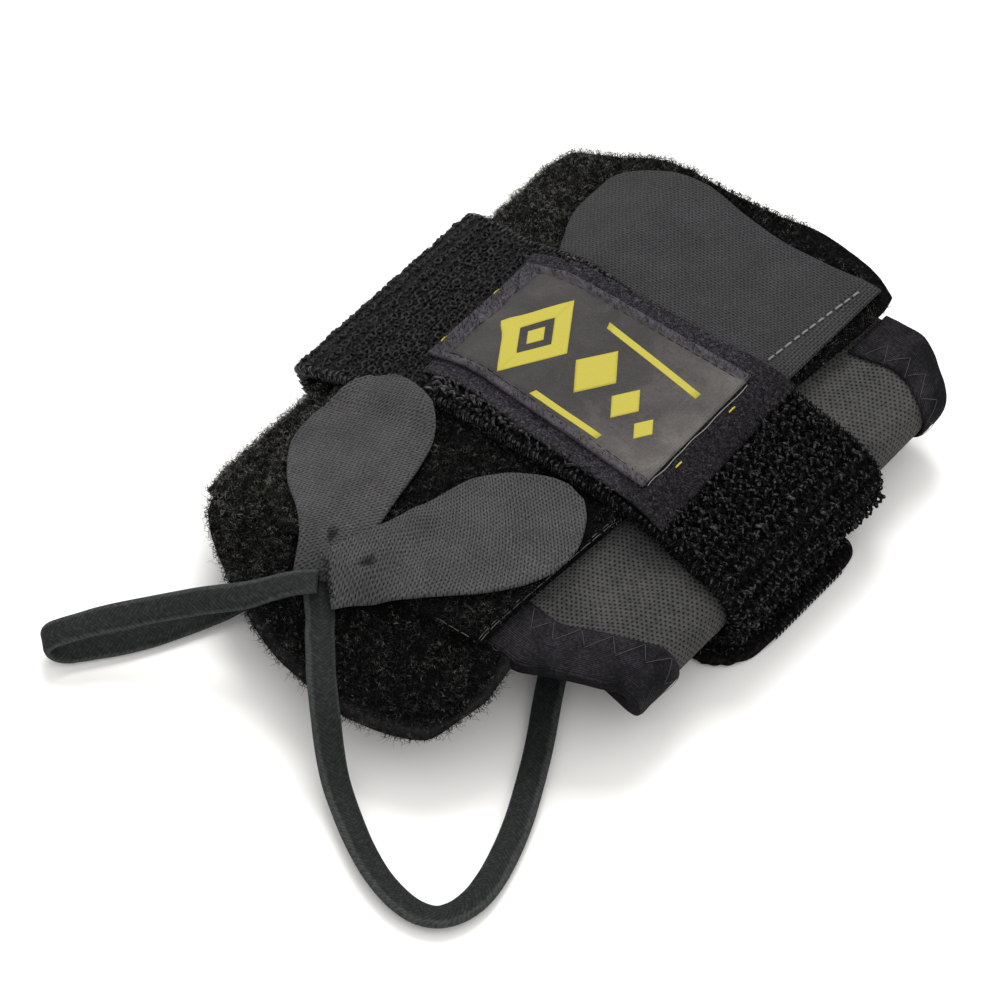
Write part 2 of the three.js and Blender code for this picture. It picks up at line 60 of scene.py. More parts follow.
# the flattened wrist hollow, as the outline of four round bars
hollowBars = [
    {"x": 48.5, "z": 12.7, "radius": 1},
    {"x": -50.5, "z": 13.7, "radius": 2},
    {"x": -22, "z": 14.2, "radius": 6},
    {"x": 26, "z": 14.2, "radius": 6},
]
guideOffset = 5
layers = {
    "base": (0.2, 2.7),
    "elasticLow": (0.2, 2.4),
    "elasticHigh": (3.05, 5.2),
    "flap": (3.05, 5.5),
    "hookTab": (5.85, 7.1),
    "bandInner": (5.9, 8.7),
    "bandOuter": (9.05, 11.7),
    "patch": (9.0, 10.3),
    "label": (10.45, 11.3),
}
pressed = {"from": -16, "to": -54, "share": 0.23}
droop = {"from": -62, "over": 30, "depth": 9.5, "floorZ": 7, "fullZ": 19}


def smooth(t):
    c = np.clip(t, 0, 1)
    return c * c * (3 - 2 * c)


def mix(a, b, t):
    return a + (b - a) * t


# value between the rows of a short table, without overshoot
def track(rows):
    xs = np.array([r[0] for r in rows], float)
    ys = np.array([r[1] for r in rows], float)
    slope = np.diff(ys) / np.diff(xs)
    lean = np.concatenate([[slope[0]], np.zeros(len(xs) - 2), [slope[-1]]])
    for i in range(1, len(xs) - 1):
        if slope[i - 1] * slope[i] > 0:
            lean[i] = 2 * slope[i - 1] * slope[i] / (slope[i - 1] + slope[i])

    def at(x):
        x = np.clip(np.asarray(x, float), xs[0], xs[-1])
        i = np.clip(np.searchsorted(xs, x, side="right") - 1, 0, len(xs) - 2)
        h = xs[i + 1] - xs[i]
        t = (x - xs[i]) / h
        return (
            ys[i] * (1 + 2 * t) * (1 - t) ** 2
            + lean[i] * h * t * (1 - t) ** 2
            + ys[i + 1] * t * t * (3 - 2 * t)
            + lean[i + 1] * h * t * t * (t - 1)
        )

    return at


# The section seen along Y: a guide line round the hollow, kept as close
# samples of its place and of the way it faces.
def walkOutline(bars):
    facing = []
    for bar, end in zip(bars, bars[1:] + bars[:1]):
        dx, dz = end["x"] - bar["x"], end["z"] - bar["z"]
        facing.append(math.atan2(dz, dx) + math.acos((bar["radius"] - end["radius"]) / math.hypot(dx, dz)))
    samples, starts, gone, turned = [], [], 0.0, 0.0
    for i, bar in enumerate(bars):
        end = bars[(i + 1) % len(bars)]
        angle = facing[i]
        out = np.array([math.cos(angle), math.sin(angle)])
        a = np.array([bar["x"], bar["z"]]) + (bar["radius"] + guideOffset) * out
        b = np.array([end["x"], end["z"]]) + (end["radius"] + guideOffset) * out
        length = float(np.linalg.norm(b - a))
        starts.append(gone)
        for t in np.linspace(0, 1, 40, endpoint=False):
            samples.append((gone + length * t, *(a + (b - a) * t), facing[0] - turned))
        gone += length
        turn = (angle - facing[(i + 1) % len(bars)]) % (2 * math.pi)
        reach = end["radius"] + guideOffset
        starts.append(gone)
        for t in np.linspace(0, 1, 60, endpoint=False):
            here = angle - turn * t
            samples.append((
                gone + reach * turn * t, end["x"] + reach * math.cos(here),
                end["z"] + reach * math.sin(here), facing[0] - turned - turn * t,
            ))
        gone += reach * turn
        turned += turn
    first = samples[0]
    samples.append((gone, first[1], first[2], first[3] - 2 * math.pi))
    return np.array(samples), starts, gone


guide, runStarts, girth = walkOutline(hollowBars)
# lengths round the tube where the left fold starts, and where the top starts and stops
foldFrom, topFrom, topTo = runStarts[1], runStarts[2], runStarts[7]


def sectionPoint(length, offset):
    length = np.asarray(length, float)
    at = np.where(length >= girth, length - girth, length)
    x = np.interp(at, guide[:, 0], guide[:, 1]) + np.where(at < 0, -at, 0.0)
    z = np.interp(at, guide[:, 0], guide[:, 2])
    angle = np.interp(at, guide[:, 0], guide[:, 3])
    out = offset - guideOffset
    return x + out * np.cos(angle), z + out * np.sin(angle)


# a point from its length round the tube, its place along it and its offset
def place(length, y, offset):
    length, y, offset = np.broadcast_arrays(*[np.asarray(v, float) for v in (length, y, offset)])
    x, z = sectionPoint(length, offset)
    z = z * (1 - pressed["share"] * smooth((pressed["from"] - x) / (pressed["from"] - pressed["to"])))
    hang = droop["depth"] * smooth((droop["from"] - y) / droop["over"])
    z = z - hang * smooth((z - droop["floorZ"]) / (droop["fullZ"] - droop["floorZ"]))
    return np.stack([x, y, z], -1)


def xAt(length):
    return sectionPoint(length, guideOffset)[0]


def onTopSide(length):
    return (length > topFrom) & (length < topTo)


topSide = np.linspace(foldFrom + (topFrom - foldFrom) / 2, girth - (girth - topTo) / 2, 3000)
topSideX = xAt(topSide)


def topAt(x):
    return np.interp(x, topSideX, topSide)


def bottomAt(x):
    return hollowBars[0]["x"] - x


# soft unevenness of hand-sewn cloth, from a few seeded waves
def unevenness(a, b, seed, wave):
    rng = np.random.default_rng(seed)
    total = np.zeros(np.broadcast(a, b).shape)
    for _ in range(6):
        angle, phase = rng.uniform(0, 2 * math.pi, 2)
        k = 2 * math.pi / (wave * rng.uniform(0.6, 1.6))
        total = total + np.sin(k * (a * math.cos(angle) + b * math.sin(angle)) + phase)
    return total / 6


print("section ready, girth", round(float(girth), 1))


# colours are given as sRGB hex and turned to the linear values of the shader
def linear(hexColour, alpha=1.0):
    parts = [int(hexColour[i : i + 2], 16) / 255 for i in (1, 3, 5)]
    return tuple(c / 12.92 if c <= 0.04045 else ((c + 0.055) / 1.055) ** 2.4 for c in parts) + (alpha,)


def addNode(tree, kind, inputs=None, **settings):
    made = tree.nodes.new(kind)
    for name, value in settings.items():
        setattr(made, name, value)
    for name, value in (inputs or {}).items():
        if isinstance(value, bpy.types.NodeSocket):
            tree.links.new(value, made.inputs[name])
        else:
            made.inputs[name].default_value = value
    return made


def startMaterial(name, roughness, specular):
    material = bpy.data.materials.new(name)
    material.use_nodes = True
    shader = material.node_tree.nodes["Principled BSDF"]
    shader.inputs["Roughness"].default_value = roughness
    shader.inputs["Specular IOR Level"].default_value = specular
    return material, material.node_tree, shader


def ramp(tree, factor, stops):
    made = addNode(tree, "ShaderNodeValToRGB", {"Fac": factor})
    elements = made.color_ramp.elements
    while len(elements) < len(stops):
        elements.new(0.5)
    for element, (at, colour) in zip(elements, stops):
        element.position = at
        element.color = linear(colour)
    return made.outputs["Color"]


def maths(tree, operation, a, b=0.0):
    return addNode(tree, "ShaderNodeMath", {0: a, 1: b}, operation=operation).outputs[0]


def objectPlace(tree):
    return addNode(tree, "ShaderNodeTexCoord").outputs["Object"]


def marked(tree, name):
    return addNode(tree, "ShaderNodeAttribute", attribute_name=name).outputs["Fac"]


# cloth coordinates, in millimetres along and across the piece
def clothCoords(tree, turn=0.0):
    uv = addNode(tree, "ShaderNodeUVMap", uv_map="cloth").outputs["UV"]
    # the weave wavers a little, as pulled cloth does
    noise = {"Vector": objectPlace(tree), "Scale": 160.0, "Detail": 3.0}
    waver = addNode(tree, "ShaderNodeTexNoise", noise).outputs["Color"]
    pull = {0: waver, 1: (0.8, 0.8, 0.0), 2: uv}
    pulled = addNode(tree, "ShaderNodeVectorMath", pull, operation="MULTIPLY_ADD").outputs[0]
    turning = {"Vector": pulled, "Rotation": (0, 0, turn)}
    turned = addNode(tree, "ShaderNodeMapping", turning).outputs["Vector"]
    parts = addNode(tree, "ShaderNodeSeparateXYZ", {"Vector": turned})
    return turned, parts.outputs["X"], parts.outputs["Y"]


# Rows of short yarn floats, every other row set half a pitch along: 1 in the
# middle of a float and 0 in the gaps between.
def wovenFloats(tree, along, across, pitch, row, length=0.42, width=0.36):
    rowAt = maths(tree, "DIVIDE", across, row)
    shift = maths(tree, "MULTIPLY", maths(tree, "FLOORED_MODULO", maths(tree, "FLOOR", rowAt), 2.0), 0.5)
    x = maths(tree, "FRACT", maths(tree, "ADD", maths(tree, "DIVIDE", along, pitch), shift))
    y = maths(tree, "FRACT", rowAt)
    dx = maths(tree, "DIVIDE", maths(tree, "SUBTRACT", x, 0.5), length)
    dy = maths(tree, "DIVIDE", maths(tree, "SUBTRACT", y, 0.5), width)
    far = maths(tree, "ADD", maths(tree, "MULTIPLY", dx, dx), maths(tree, "MULTIPLY", dy, dy))
    return maths(tree, "MAXIMUM", maths(tree, "SUBTRACT", 1.0, far), 0.0)


def objectNoise(tree, scale, detail=3.0, distortion=0.0, roughness=0.55):
    settings = {"Scale": scale, "Detail": detail, "Distortion": distortion, "Roughness": roughness}
    return addNode(tree, "ShaderNodeTexNoise", {"Vector": objectPlace(tree), **settings}).outputs["Fac"]


# a sine wave of one pitch along a coordinate
def sineAlong(tree, at, pitch):
    return maths(tree, "SINE", maths(tree, "MULTIPLY", at, 2 * math.pi / pitch))


def shareBetween(tree, value, start, stop):
    settings = {"Value": value, "From Min": start, "From Max": stop}
    return addNode(tree, "ShaderNodeMapRange", settings).outputs[0]


# how far a point lies along one axis of the glove, from 0 to 1
def placeShare(tree, axis, start, stop):
    value = addNode(tree, "ShaderNodeSeparateXYZ", {"Vector": objectPlace(tree)}).outputs[axis]
    return shareBetween(tree, value, start, stop)


def sumOf(tree, *parts):
    total = None
    for socket, weight in parts:
        part = maths(tree, "MULTIPLY", socket, weight)
        total = part if total is None else maths(tree, "ADD", total, part)
    return total


def bumpTo(tree, shader, height, distance):
    bump = addNode(tree, "ShaderNodeBump", {"Height": height, "Distance": distance, "Strength": 1.0})
    tree.links.new(bump.outputs["Normal"], shader.inputs["Normal"])


# colour a look by its shade, and raise it by a height where one is given
def dress(look, shade, stops, height=None, distance=0.0):
    material, tree, shader = look
    tree.links.new(ramp(tree, shade, stops), shader.inputs["Base Color"])
    if height is not None:
        bumpTo(tree, shader, height, distance)
    return material


# Brushed nylon loop fabric: the near black ground that shows between loops.
def makeLoopFabric():
    look = startMaterial("brushedNylonLoop", 0.95, 0.04)
    tree = look[1]
    fine = objectNoise(tree, 1500, 4.0, 2.2, 0.7)
    clump = objectNoise(tree, 300, 3.0, 0.6)
    bare = marked(tree, "bare")
    both = sumOf(tree, (fine, 0.7), (clump, 0.3))
    shade = sumOf(tree, (both, 1.0), (bare, 0.22))
    stops = [(0.38, "#030303"), (0.5, "#090909"), (0.62, "#181817"), (0.84, "#343436")]
    return dress(look, shade, stops, both, 0.0009)


# Nylon filaments of the pile: near black with paler curls, and painted light
# that makes them lighter on the left, where the pile faces the window.
def makeLoopFilament():
    look = startMaterial("nylonLoopFilament", 0.7, 0.12)
    tree = look[1]
    fine = objectNoise(tree, 900, 2.0, 1.2)
    clump = objectNoise(tree, 260, 2.0)
    # painted light: the filaments are lighter towards the left, which faces the key light
    leftPaintedLight = placeShare(tree, "X", -0.012, -0.055)
    shade = sumOf(tree, (fine, 0.75), (clump, 0.25), (leftPaintedLight, 0.08))
    stops = [(0.39, "#030303"), (0.505, "#111110"), (0.585, "#353532"), (0.7, "#7a7a71")]
    return dress(look, shade, stops)


# Knitted elastic: matt mid grey with small dark dots in slanting rows.
def makeElastic():
    look = startMaterial("knittedElastic", 0.88, 0.08)
    tree = look[1]
    _, along, across = clothCoords(tree, math.radians(8))
    dots = wovenFloats(tree, across, along, 1.3, 0.8, 0.26, 0.34)
    grain = objectNoise(tree, 900, 3.0)
    wear = objectNoise(tree, 90, 2.0)
    shade = sumOf(tree, (dots, -0.5), (grain, 0.6), (wear, 0.4))
    stops = [(0.02, "#131313"), (0.24, "#292928"), (0.42, "#3a3a39"), (0.7, "#4d4c4b")]
    return dress(look, shade, stops, shade, 0.00035)


# Folded lining tape: fine soft ribs in a purplish black.
def makeBinding():
    look = startMaterial("foldedLiningTape", 0.92, 0.06)
    tree = look[1]
    _, along, across = clothCoords(tree)
    rib = maths(tree, "ABSOLUTE", sineAlong(tree, across, 1.0))
    grain = objectNoise(tree, 1500, 2.0)
    wear = objectNoise(tree, 120, 2.0)
    shade = sumOf(tree, (rib, 0.2), (grain, 0.5), (wear, 0.5))
    return dress(look, shade, [(0.38, "#0b0b0c"), (0.6, "#171618"), (0.8, "#2f2d31")], shade, 0.0002)


# Woven backing of hook tape: uneven yarn floats with small dark flecks, a
# shadow in a sewn dart, and a ribbed margin where one is asked for.
def makeHookBacking(name, tones, turn, fleck, marginFrom=None):
    look = startMaterial(name, 0.85, 0.08)
    tree = look[1]
    turned, along, across = clothCoords(tree, math.radians(turn))
    flecks = wovenFloats(tree, along, across, fleck, fleck * 0.66, 0.42, 0.27)
    grain = objectNoise(tree, 1300, 2.0)
    tone = objectNoise(tree, 110, 3.0)
    stretch = {"Vector": turned, "Scale": (1.5, 3.6, 1.0)}
    drawn = addNode(tree, "ShaderNodeMapping", stretch).outputs["Vector"]
    yarns = {"Vector": drawn, "Scale": 1.0, "Detail": 2.0}
    floats = addNode(tree, "ShaderNodeTexNoise", yarns).outputs["Fac"]
    # painted shadow: the tape's colour is darkened in the fold of the sewn dart
    dart = marked(tree, "dart")
    parts = [(flecks, -0.4), (grain, 0.25), (floats, 0.8), (tone, 0.27), (dart, -0.4)]
    if marginFrom is not None:
        ridge = sineAlong(tree, along, 0.72)
        inMargin = maths(tree, "GREATER_THAN", along, marginFrom)
        parts.append((maths(tree, "MULTIPLY", ridge, inMargin), 0.16))
    shade = sumOf(tree, *parts)
    stops = [(0.14, tones[0]), (0.4, tones[1]), (0.62, tones[2]), (0.82, tones[3])]
    return dress(look, shade, stops, shade, 0.0004)


# Spun polyester yarn of the knitted band: near black, with painted light that
# makes it lighter towards the left fold, which faces the window.
def makeKnitYarn(name, tones):
    look = startMaterial(name, 0.95, 0.04)
    tree = look[1]
    tone = objectNoise(tree, 1100, 3.0, 0.8)
    # painted light: the yarn is lighter towards the left, which faces the key light
    lift = placeShare(tree, "X", 0.02, -0.06)
    shade = sumOf(tree, (tone, 1.0), (lift, 0.16))
    return dress(look, shade, [(0.34, tones[0]), (0.52, tones[1]), (0.74, tones[2])], tone, 0.0004)


# Short-napped fabric under the label: dark purplish grey, darker past the
# label's right end.
def makePatchNap(name, tones):
    look = startMaterial(name, 0.95, 0.05)
    tree = look[1]
    tone = objectNoise(tree, 1500, 4.0, 1.2, 0.65)
    shade = sumOf(tree, (tone, 1.0), (placeShare(tree, "X", 0.022, 0.034), -0.09))
    return dress(look, shade, [(0.36, tones[0]), (0.52, tones[1]), (0.7, tones[2])], tone, 0.0006)


# Polyester satin label: fine warp, a cloudy tone and a painted sheen that
# grows lighter to the right, and a purplish turned-in hem.
def makeSatin():
    material, tree, shader = startMaterial("wovenSatinLabel", 0.6, 0.2)
    _, along, across = clothCoords(tree)
    cloud = objectNoise(tree, 75, 4.0, 0.8)
    grain = objectNoise(tree, 1500, 2.0)
    warp = sineAlong(tree, along, 0.42)
    # painted sheen: the satin's colour is lighter towards the right
    side = placeShare(tree, "X", 0.002, 0.034)
    shade = sumOf(tree, (cloud, 0.55), (side, 0.3), (grain, 0.2), (warp, 0.02))
    body = ramp(tree, shade, [(0.22, "#232120"), (0.42, "#33302f"), (0.6, "#4c4846"), (0.85, "#716b67")])
    hemTone = ramp(tree, sumOf(tree, (cloud, 0.5), (grain, 0.5)), [(0.35, "#242126"), (0.65, "#454049")])
    hem = marked(tree, "hem")
    mixed = addNode(tree, "ShaderNodeMix", {"Factor": hem}, data_type="RGBA")
    tree.links.new(body, mixed.inputs[6])
    tree.links.new(hemTone, mixed.inputs[7])
    tree.links.new(mixed.outputs[2], shader.inputs["Base Color"])
    bumpTo(tree, shader, sumOf(tree, (warp, 0.08), (cloud, 1.0), (grain, 0.4)), 0.0003)
    return material


# Flat braided elastic: dark green grey, faint chevrons that meet in the
# middle and a paler cord along each edge.
def makeBraid():
    look = startMaterial("flatBraidedElastic", 0.8, 0.1)
    tree = look[1]
    _, along, across = clothCoords(tree)
    fromMiddle = maths(tree, "ABSOLUTE", across)
    slant = maths(tree, "MULTIPLY", fromMiddle, 0.9)
    wave = sineAlong(tree, maths(tree, "ADD", along, slant), 0.95)
    edge = shareBetween(tree, fromMiddle, 2.0, 2.6)
    grain = objectNoise(tree, 1200, 2.0)
    shade = sumOf(tree, (wave, 0.03), (edge, 0.12), (grain, 0.3))
    return dress(look, shade, [(0.04, "#111212"), (0.17, "#222424"), (0.34, "#3d3f3f")], shade, 0.00025)


# Sewing thread: twisted polyester with a faint gloss.
def makeThread(name, colour):
    material, tree, shader = startMaterial(name, 0.6, 0.15)
    shader.inputs["Base Color"].default_value = linear(colour)
    twist = objectNoise(tree, 2500, 1.0)
    bumpTo(tree, shader, twist, 0.0001)
    return material


looks = {
    "loopFabric": makeLoopFabric(),
    "loopFilament": makeLoopFilament(),
    "elastic": makeElastic(),
    "binding": makeBinding(),
    "hookLeft": makeHookBacking("hookTapeLeft", ("#151516", "#2d2d2e", "#403f40", "#545354"), 62, 1.1),
    "hookRight": makeHookBacking("hookTapeRight", ("#161616", "#2c2d2c", "#3f403f", "#545554"), -58, 1.1),
    # the closure's copy of the hook tape is painted darker than the tabs' as shade; it is the same tape
    "hookClosureShaded": makeHookBacking(
        "hookTapeClosureShaded", ("#19191a", "#282829", "#343435", "#424243"), 0, 1.0, float(topAt(27.4))),
    "knit": makeKnitYarn("spunKnitYarn", ("#030303", "#0d0d0d", "#242425")),
    "knitEyelet": makeKnitYarn("loopedKnitYarn", ("#040404", "#111112", "#363637")),
    "knitTuft": makeKnitYarn("brushedKnitTuft", ("#020202", "#131313", "#565657")),
    "patch": makePatchNap("shortNapPatch", ("#151315", "#302e32", "#575358")),
    "hemNap": makePatchNap("brushedHemNap", ("#242126", "#3a373c", "#5a565c")),
    "satin": makeSatin(),
    "braid": makeBraid(),
    "greyThread": makeThread("greyThread", "#474544"),
    "seamThread": makeThread("seamThread", "#74726e"),
    "dullThread": makeThread("dullThread", "#5c5c57"),
    "paleThread": makeThread("paleThread", "#85857f"),
    "darkThread": makeThread("darkThread", "#141315"),
    "yellowThread": makeThread("yellowThread", "#b3a43a"),
    "yellowInlay": makeThread("yellowWeft", "#a99e3b"),
}
print("materials made:", len(looks))


def addObject(name, data):
    made = bpy.data.objects.new(name, data)
    bpy.context.scene.collection.objects.link(made)
    return made


# A mesh object from arrays of points in millimetres of the pattern's layout.
def makePiece(name, points, faces, material, cloth=None, values=None):
    points = (np.asarray(points, float).reshape(-1, 3) - middle) * 0.001
    mesh = bpy.data.meshes.new(name)
    corners = np.concatenate([np.asarray(f, np.int32).reshape(-1) for f in faces])
    sizes = np.concatenate([np.full(len(f), np.asarray(f).shape[1], np.int32) for f in faces])
    mesh.vertices.add(len(points))
    mesh.vertices.foreach_set("co", points.astype(np.float32).ravel())
    mesh.loops.add(len(corners))
    mesh.loops.foreach_set("vertex_index", corners)
    mesh.polygons.add(len(sizes))
    mesh.polygons.foreach_set("loop_start", np.concatenate([[0], np.cumsum(sizes)[:-1]]).astype(np.int32))
    mesh.update(calc_edges=True)
    if cloth is not None:
        layer = mesh.uv_layers.new(name="cloth")
        layer.data.foreach_set("uv", np.asarray(cloth, np.float32).reshape(-1, 2)[corners].ravel())
    for key, value in (values or {}).items():
        data = mesh.attributes.new(key, "FLOAT", "POINT").data
        data.foreach_set("value", np.asarray(value, np.float32).ravel())
    mesh.polygons.foreach_set("use_smooth", np.ones(len(sizes), bool))
    mesh.materials.append(material)
    return addObject(name, mesh)


def mergeAndFaceOut(piece):
    work = bmesh.new()
    work.from_mesh(piece.data)
    bmesh.ops.remove_doubles(work, verts=work.verts, dist=2e-6)
    bmesh.ops.dissolve_degenerate(work, dist=1e-7, edges=work.edges)
    bmesh.ops.recalc_face_normals(work, faces=work.faces)
    work.to_mesh(piece.data)
    work.free()


def gridQuads(columns, rows):
    index = np.arange(columns * rows).reshape(columns, rows)
    a, b, c, d = index[:-1, :-1], index[:-1, 1:], index[1:, 1:], index[1:, :-1]
    return np.stack([a, b, c, d], -1).reshape(-1, 4)


# quads round a tube of rings
def tubeQuads(index):
    after = np.roll(index, -1, axis=1)
    return np.stack([index[:-1], after[:-1], after[1:], index[1:]], -1).reshape(-1, 4)


# triangles over the two ends of a tube
def tubeCaps(index):
    first, last = index[0], index[-1]
    pairs = [
        ([first[0], first[k + 1], first[k]], [last[0], last[k], last[k + 1]])
        for k in range(1, index.shape[1] - 1)
    ]
    return [triangle for pair in pairs for triangle in pair]


# closed cloth from a grid of points on its outer face and one on its under face
def twoFaced(name, material, outer, under, cloth, values=None):
    count = outer.shape[0] * outer.shape[1]
    quads = gridQuads(*outer.shape[:2])
    points = np.concatenate([outer.reshape(-1, 3), under.reshape(-1, 3)])
    faces = [quads, quads[:, ::-1] + count]
    piece = makePiece(name, points, faces, material, np.tile(cloth.reshape(-1, 2), (2, 1)), values)
    mergeAndFaceOut(piece)
    return piece


# height of a rounded edge, from 0 at the rim to 1 at full thickness
def roundEdge(distance, edge):
    return np.sqrt(np.clip(1 - (1 - np.clip(distance / edge, 0, 1)) ** 2, 0, 1))


def always(value):
    return lambda at: np.full(np.shape(at), value)


# an edge given for lengths, as a function of the share between two of them
def overShare(edge, start, stop):
    return lambda share: edge(mix(start, stop, share))


# shares of a length from 0 to 1, closer together at the two rounded edges
def edgeSpaced(length, step, edge):
    rim = edge * (1 - np.cos(np.linspace(0, math.pi / 2, 5)))[:-1]
    inner = np.linspace(edge, length - edge, max(2, int(round((length - 2 * edge) / step))))
    return np.concatenate([rim, inner, length - rim[::-1]]) / length


# A cut panel of cloth with rounded edges. near and far give its ends along Y
# for a share of its width, left and right its sides round the tube for a y.
# zones are values kept on its outer face, such as where pile grows.
def clothPanel(name, slot, node, look, near, far, left, right, faces, steps, edge, relief, zones=None):
    shares = edgeSpaced(float(np.mean(right(0.0) - left(0.0))), steps[0], edge)
    rows = edgeSpaced(float(far(np.array(0.5)) - near(np.array(0.5))), steps[1], edge)
    s, t = np.meshgrid(shares, rows, indexing="ij")
    nearY, farY = near(s), far(s)
    y = mix(nearY, farY, t)
    leftR, rightR = left(y), right(y)
    length = mix(leftR, rightR, s)
    toSide = np.minimum(length - leftR, rightR - length)
    toEnd = np.minimum(y - nearY, farY - y)
    full = roundEdge(toSide, edge) * roundEdge(toEnd, edge)
    under, outer = faces(length) if callable(faces) else faces
    middleOffset, half = (under + outer) / 2, (outer - under) / 2
    top = middleOffset + half * full + relief(length, y) * full
    low = middleOffset - half * full
    values = {}
    for key, zone in (zones or {}).items():
        values[key] = np.zeros(s.size * 2)
        values[key][: s.size] = zone(length, y, toSide, toEnd).ravel()
    cloth = np.stack([length, y], -1)
    piece = twoFaced(name, looks[look], place(length, y, top), place(length, y, low), cloth, values)
    return finishPiece(piece, slot, node)


# Round threads swept along lines, joined in one mesh.
def sweepThreads(name, lines, radius, material, sides=5, taper=0.0):
    points, tris, quads, count = [], [], [], 0
    angles = np.arange(sides) * 2 * math.pi / sides
    for line in lines:
        line = np.asarray(line, float)
        ahead = np.gradient(line, axis=0)
        ahead /= np.linalg.norm(ahead, axis=1)[:, None] + 1e-12
        side = np.cross(ahead, [0.13, 0.21, 0.97])
        side /= np.linalg.norm(side, axis=1)[:, None] + 1e-12
        up = np.cross(side, ahead)
        size = radius * (1 - taper * np.linspace(0, 1, len(line)))[:, None, None]
        ring = side[:, None] * np.cos(angles)[None, :, None] + up[:, None] * np.sin(angles)[None, :, None]
        points.append((line[:, None] + ring * size).reshape(-1, 3))
        index = np.arange(len(line) * sides).reshape(len(line), sides) + count
        quads.append(tubeQuads(index))
        tris += tubeCaps(index)
        count += len(line) * sides
    piece = makePiece(name, np.concatenate(points), [np.concatenate(quads), np.array(tris)], material)
    mergeAndFaceOut(piece)
    return piece


# One curved fibre that stands at the glove's origin, to be repeated.
def makeFibre(name, line, radius):
    fibre = sweepThreads(name, [np.asarray(line) + middle], radius, looks["loopFilament"], 3, 0.6)
    fibre.hide_render = True
    return fibre


def startTree(name):
    tree = bpy.data.node_groups.new(name, "GeometryNodeTree")
    for direction in ("INPUT", "OUTPUT"):
        tree.interface.new_socket(name="Geometry", in_out=direction, socket_type="NodeSocketGeometry")
    return tree, addNode(tree, "NodeGroupInput").outputs["Geometry"]


# the socket of that name which the node's data type uses
def inUse(sockets, name):
    return [socket for socket in sockets if socket.enabled and socket.name == name][0]


def namedValue(tree, name, kind="FLOAT"):
    node = addNode(tree, "GeometryNodeInputNamedAttribute", {"Name": name}, data_type=kind)
    return inUse(node.outputs, "Attribute")


# Geometry Nodes: one of several kinds set on every point, turned and scaled,
# then kept as one piece's mesh.
def plant(name, slot, carrierMesh, tree, kinds, points, rotation, scale, look):
    choice = addNode(tree, "GeometryNodeGeometryToInstance")
    for kind in kinds:
        info = addNode(tree, "GeometryNodeObjectInfo", {"Object": kind, "As Instance": False})
        tree.links.new(info.outputs["Geometry"], choice.inputs[0])
    given = {"Points": points, "Instance": choice.outputs[0], "Pick Instance": True}
    given.update({"Rotation": rotation, "Scale": scale})
    planted = addNode(tree, "GeometryNodeInstanceOnPoints", given).outputs[0]
    real = addNode(tree, "GeometryNodeRealizeInstances", {"Geometry": planted}).outputs[0]
    dressed = addNode(tree, "GeometryNodeSetMaterial", {"Geometry": real, "Material": looks[look]})
    addNode(tree, "NodeGroupOutput", {"Geometry": dressed.outputs[0]})
    carrier = addObject(name + "Carrier", carrierMesh)
    carrier.modifiers.new("plant", "NODES").node_group = tree
    graph = bpy.context.evaluated_depsgraph_get()
    mesh = bpy.data.meshes.new_from_object(carrier.evaluated_get(graph), depsgraph=graph)
    mesh.name = name
    bpy.data.objects.remove(carrier)
    mesh.polygons.foreach_set("use_smooth", np.ones(len(mesh.polygons), bool))
    print(name, "triangles", sum(len(p.vertices) - 2 for p in mesh.polygons))
    finishPiece(addObject(name, mesh), slot)


# fibres for each square metre, their smallest and largest scale, and how far
# they lean in radians
pileKinds = {
    "loops": {"perArea": 3.25e6, "sizes": (0.6, 1.3), "lean": 0.7},
    "strays": {"perArea": 1.5e6, "sizes": (0.5, 1.25), "lean": 1.0},
    "knitHairs": {"perArea": 0.75e6, "sizes": (0.5, 1.05), "lean": 1.2},
    "patchNap": {"perArea": 3.4e6, "sizes": (0.7, 1.5), "lean": 0.7},
    "hemFuzz": {"perArea": 2.6e6, "sizes": (0.6, 1.2), "lean": 0.9},
}


# Fibres scattered over a cloth's outer face where its pile attribute lets
# them grow, turned and sized at random from one seed.
def growPile(name, slot, cloth, fibres, look, kind, seed):
    make = pileKinds[kind]
    tree, ground = startTree("growPile")
    density = maths(tree, "MULTIPLY", namedValue(tree, "pile"), make["perArea"])
    spread = {"Mesh": ground, "Density": density, "Seed": seed}
    scatter = addNode(tree, "GeometryNodeDistributePointsOnFaces", spread).outputs
    lean, halfTurn = make["lean"], 3.1416
    turns = {"Min": (-lean, -lean, -halfTurn), "Max": (lean, lean, halfTurn), "Seed": seed}
    spin = addNode(tree, "FunctionNodeRandomValue", turns, data_type="FLOAT_VECTOR")
    turning = {"Rotation": scatter["Rotation"], "Rotate By": inUse(spin.outputs, "Value")}
    turned = addNode(tree, "FunctionNodeRotateRotation", turning, rotation_space="LOCAL").outputs[0]
    size = addNode(tree, "FunctionNodeRandomValue", {"Seed": seed}, data_type="FLOAT")
    for key, value in zip(("Min", "Max"), make["sizes"]):
        inUse(size.inputs, key).default_value = value
    scale = inUse(size.outputs, "Value")
    plant(name, slot, cloth.data, tree, fibres, scatter["Points"], turned, scale, look)


def finishPiece(piece, slot, *nodes):
    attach(piece, "root")
    if nodes:
        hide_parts(*nodes)
    return piece


def sewThreads(name, slot, look, lines, radius, sides=5):
    finishPiece(sweepThreads(name, lines, radius, looks[look], sides), slot)


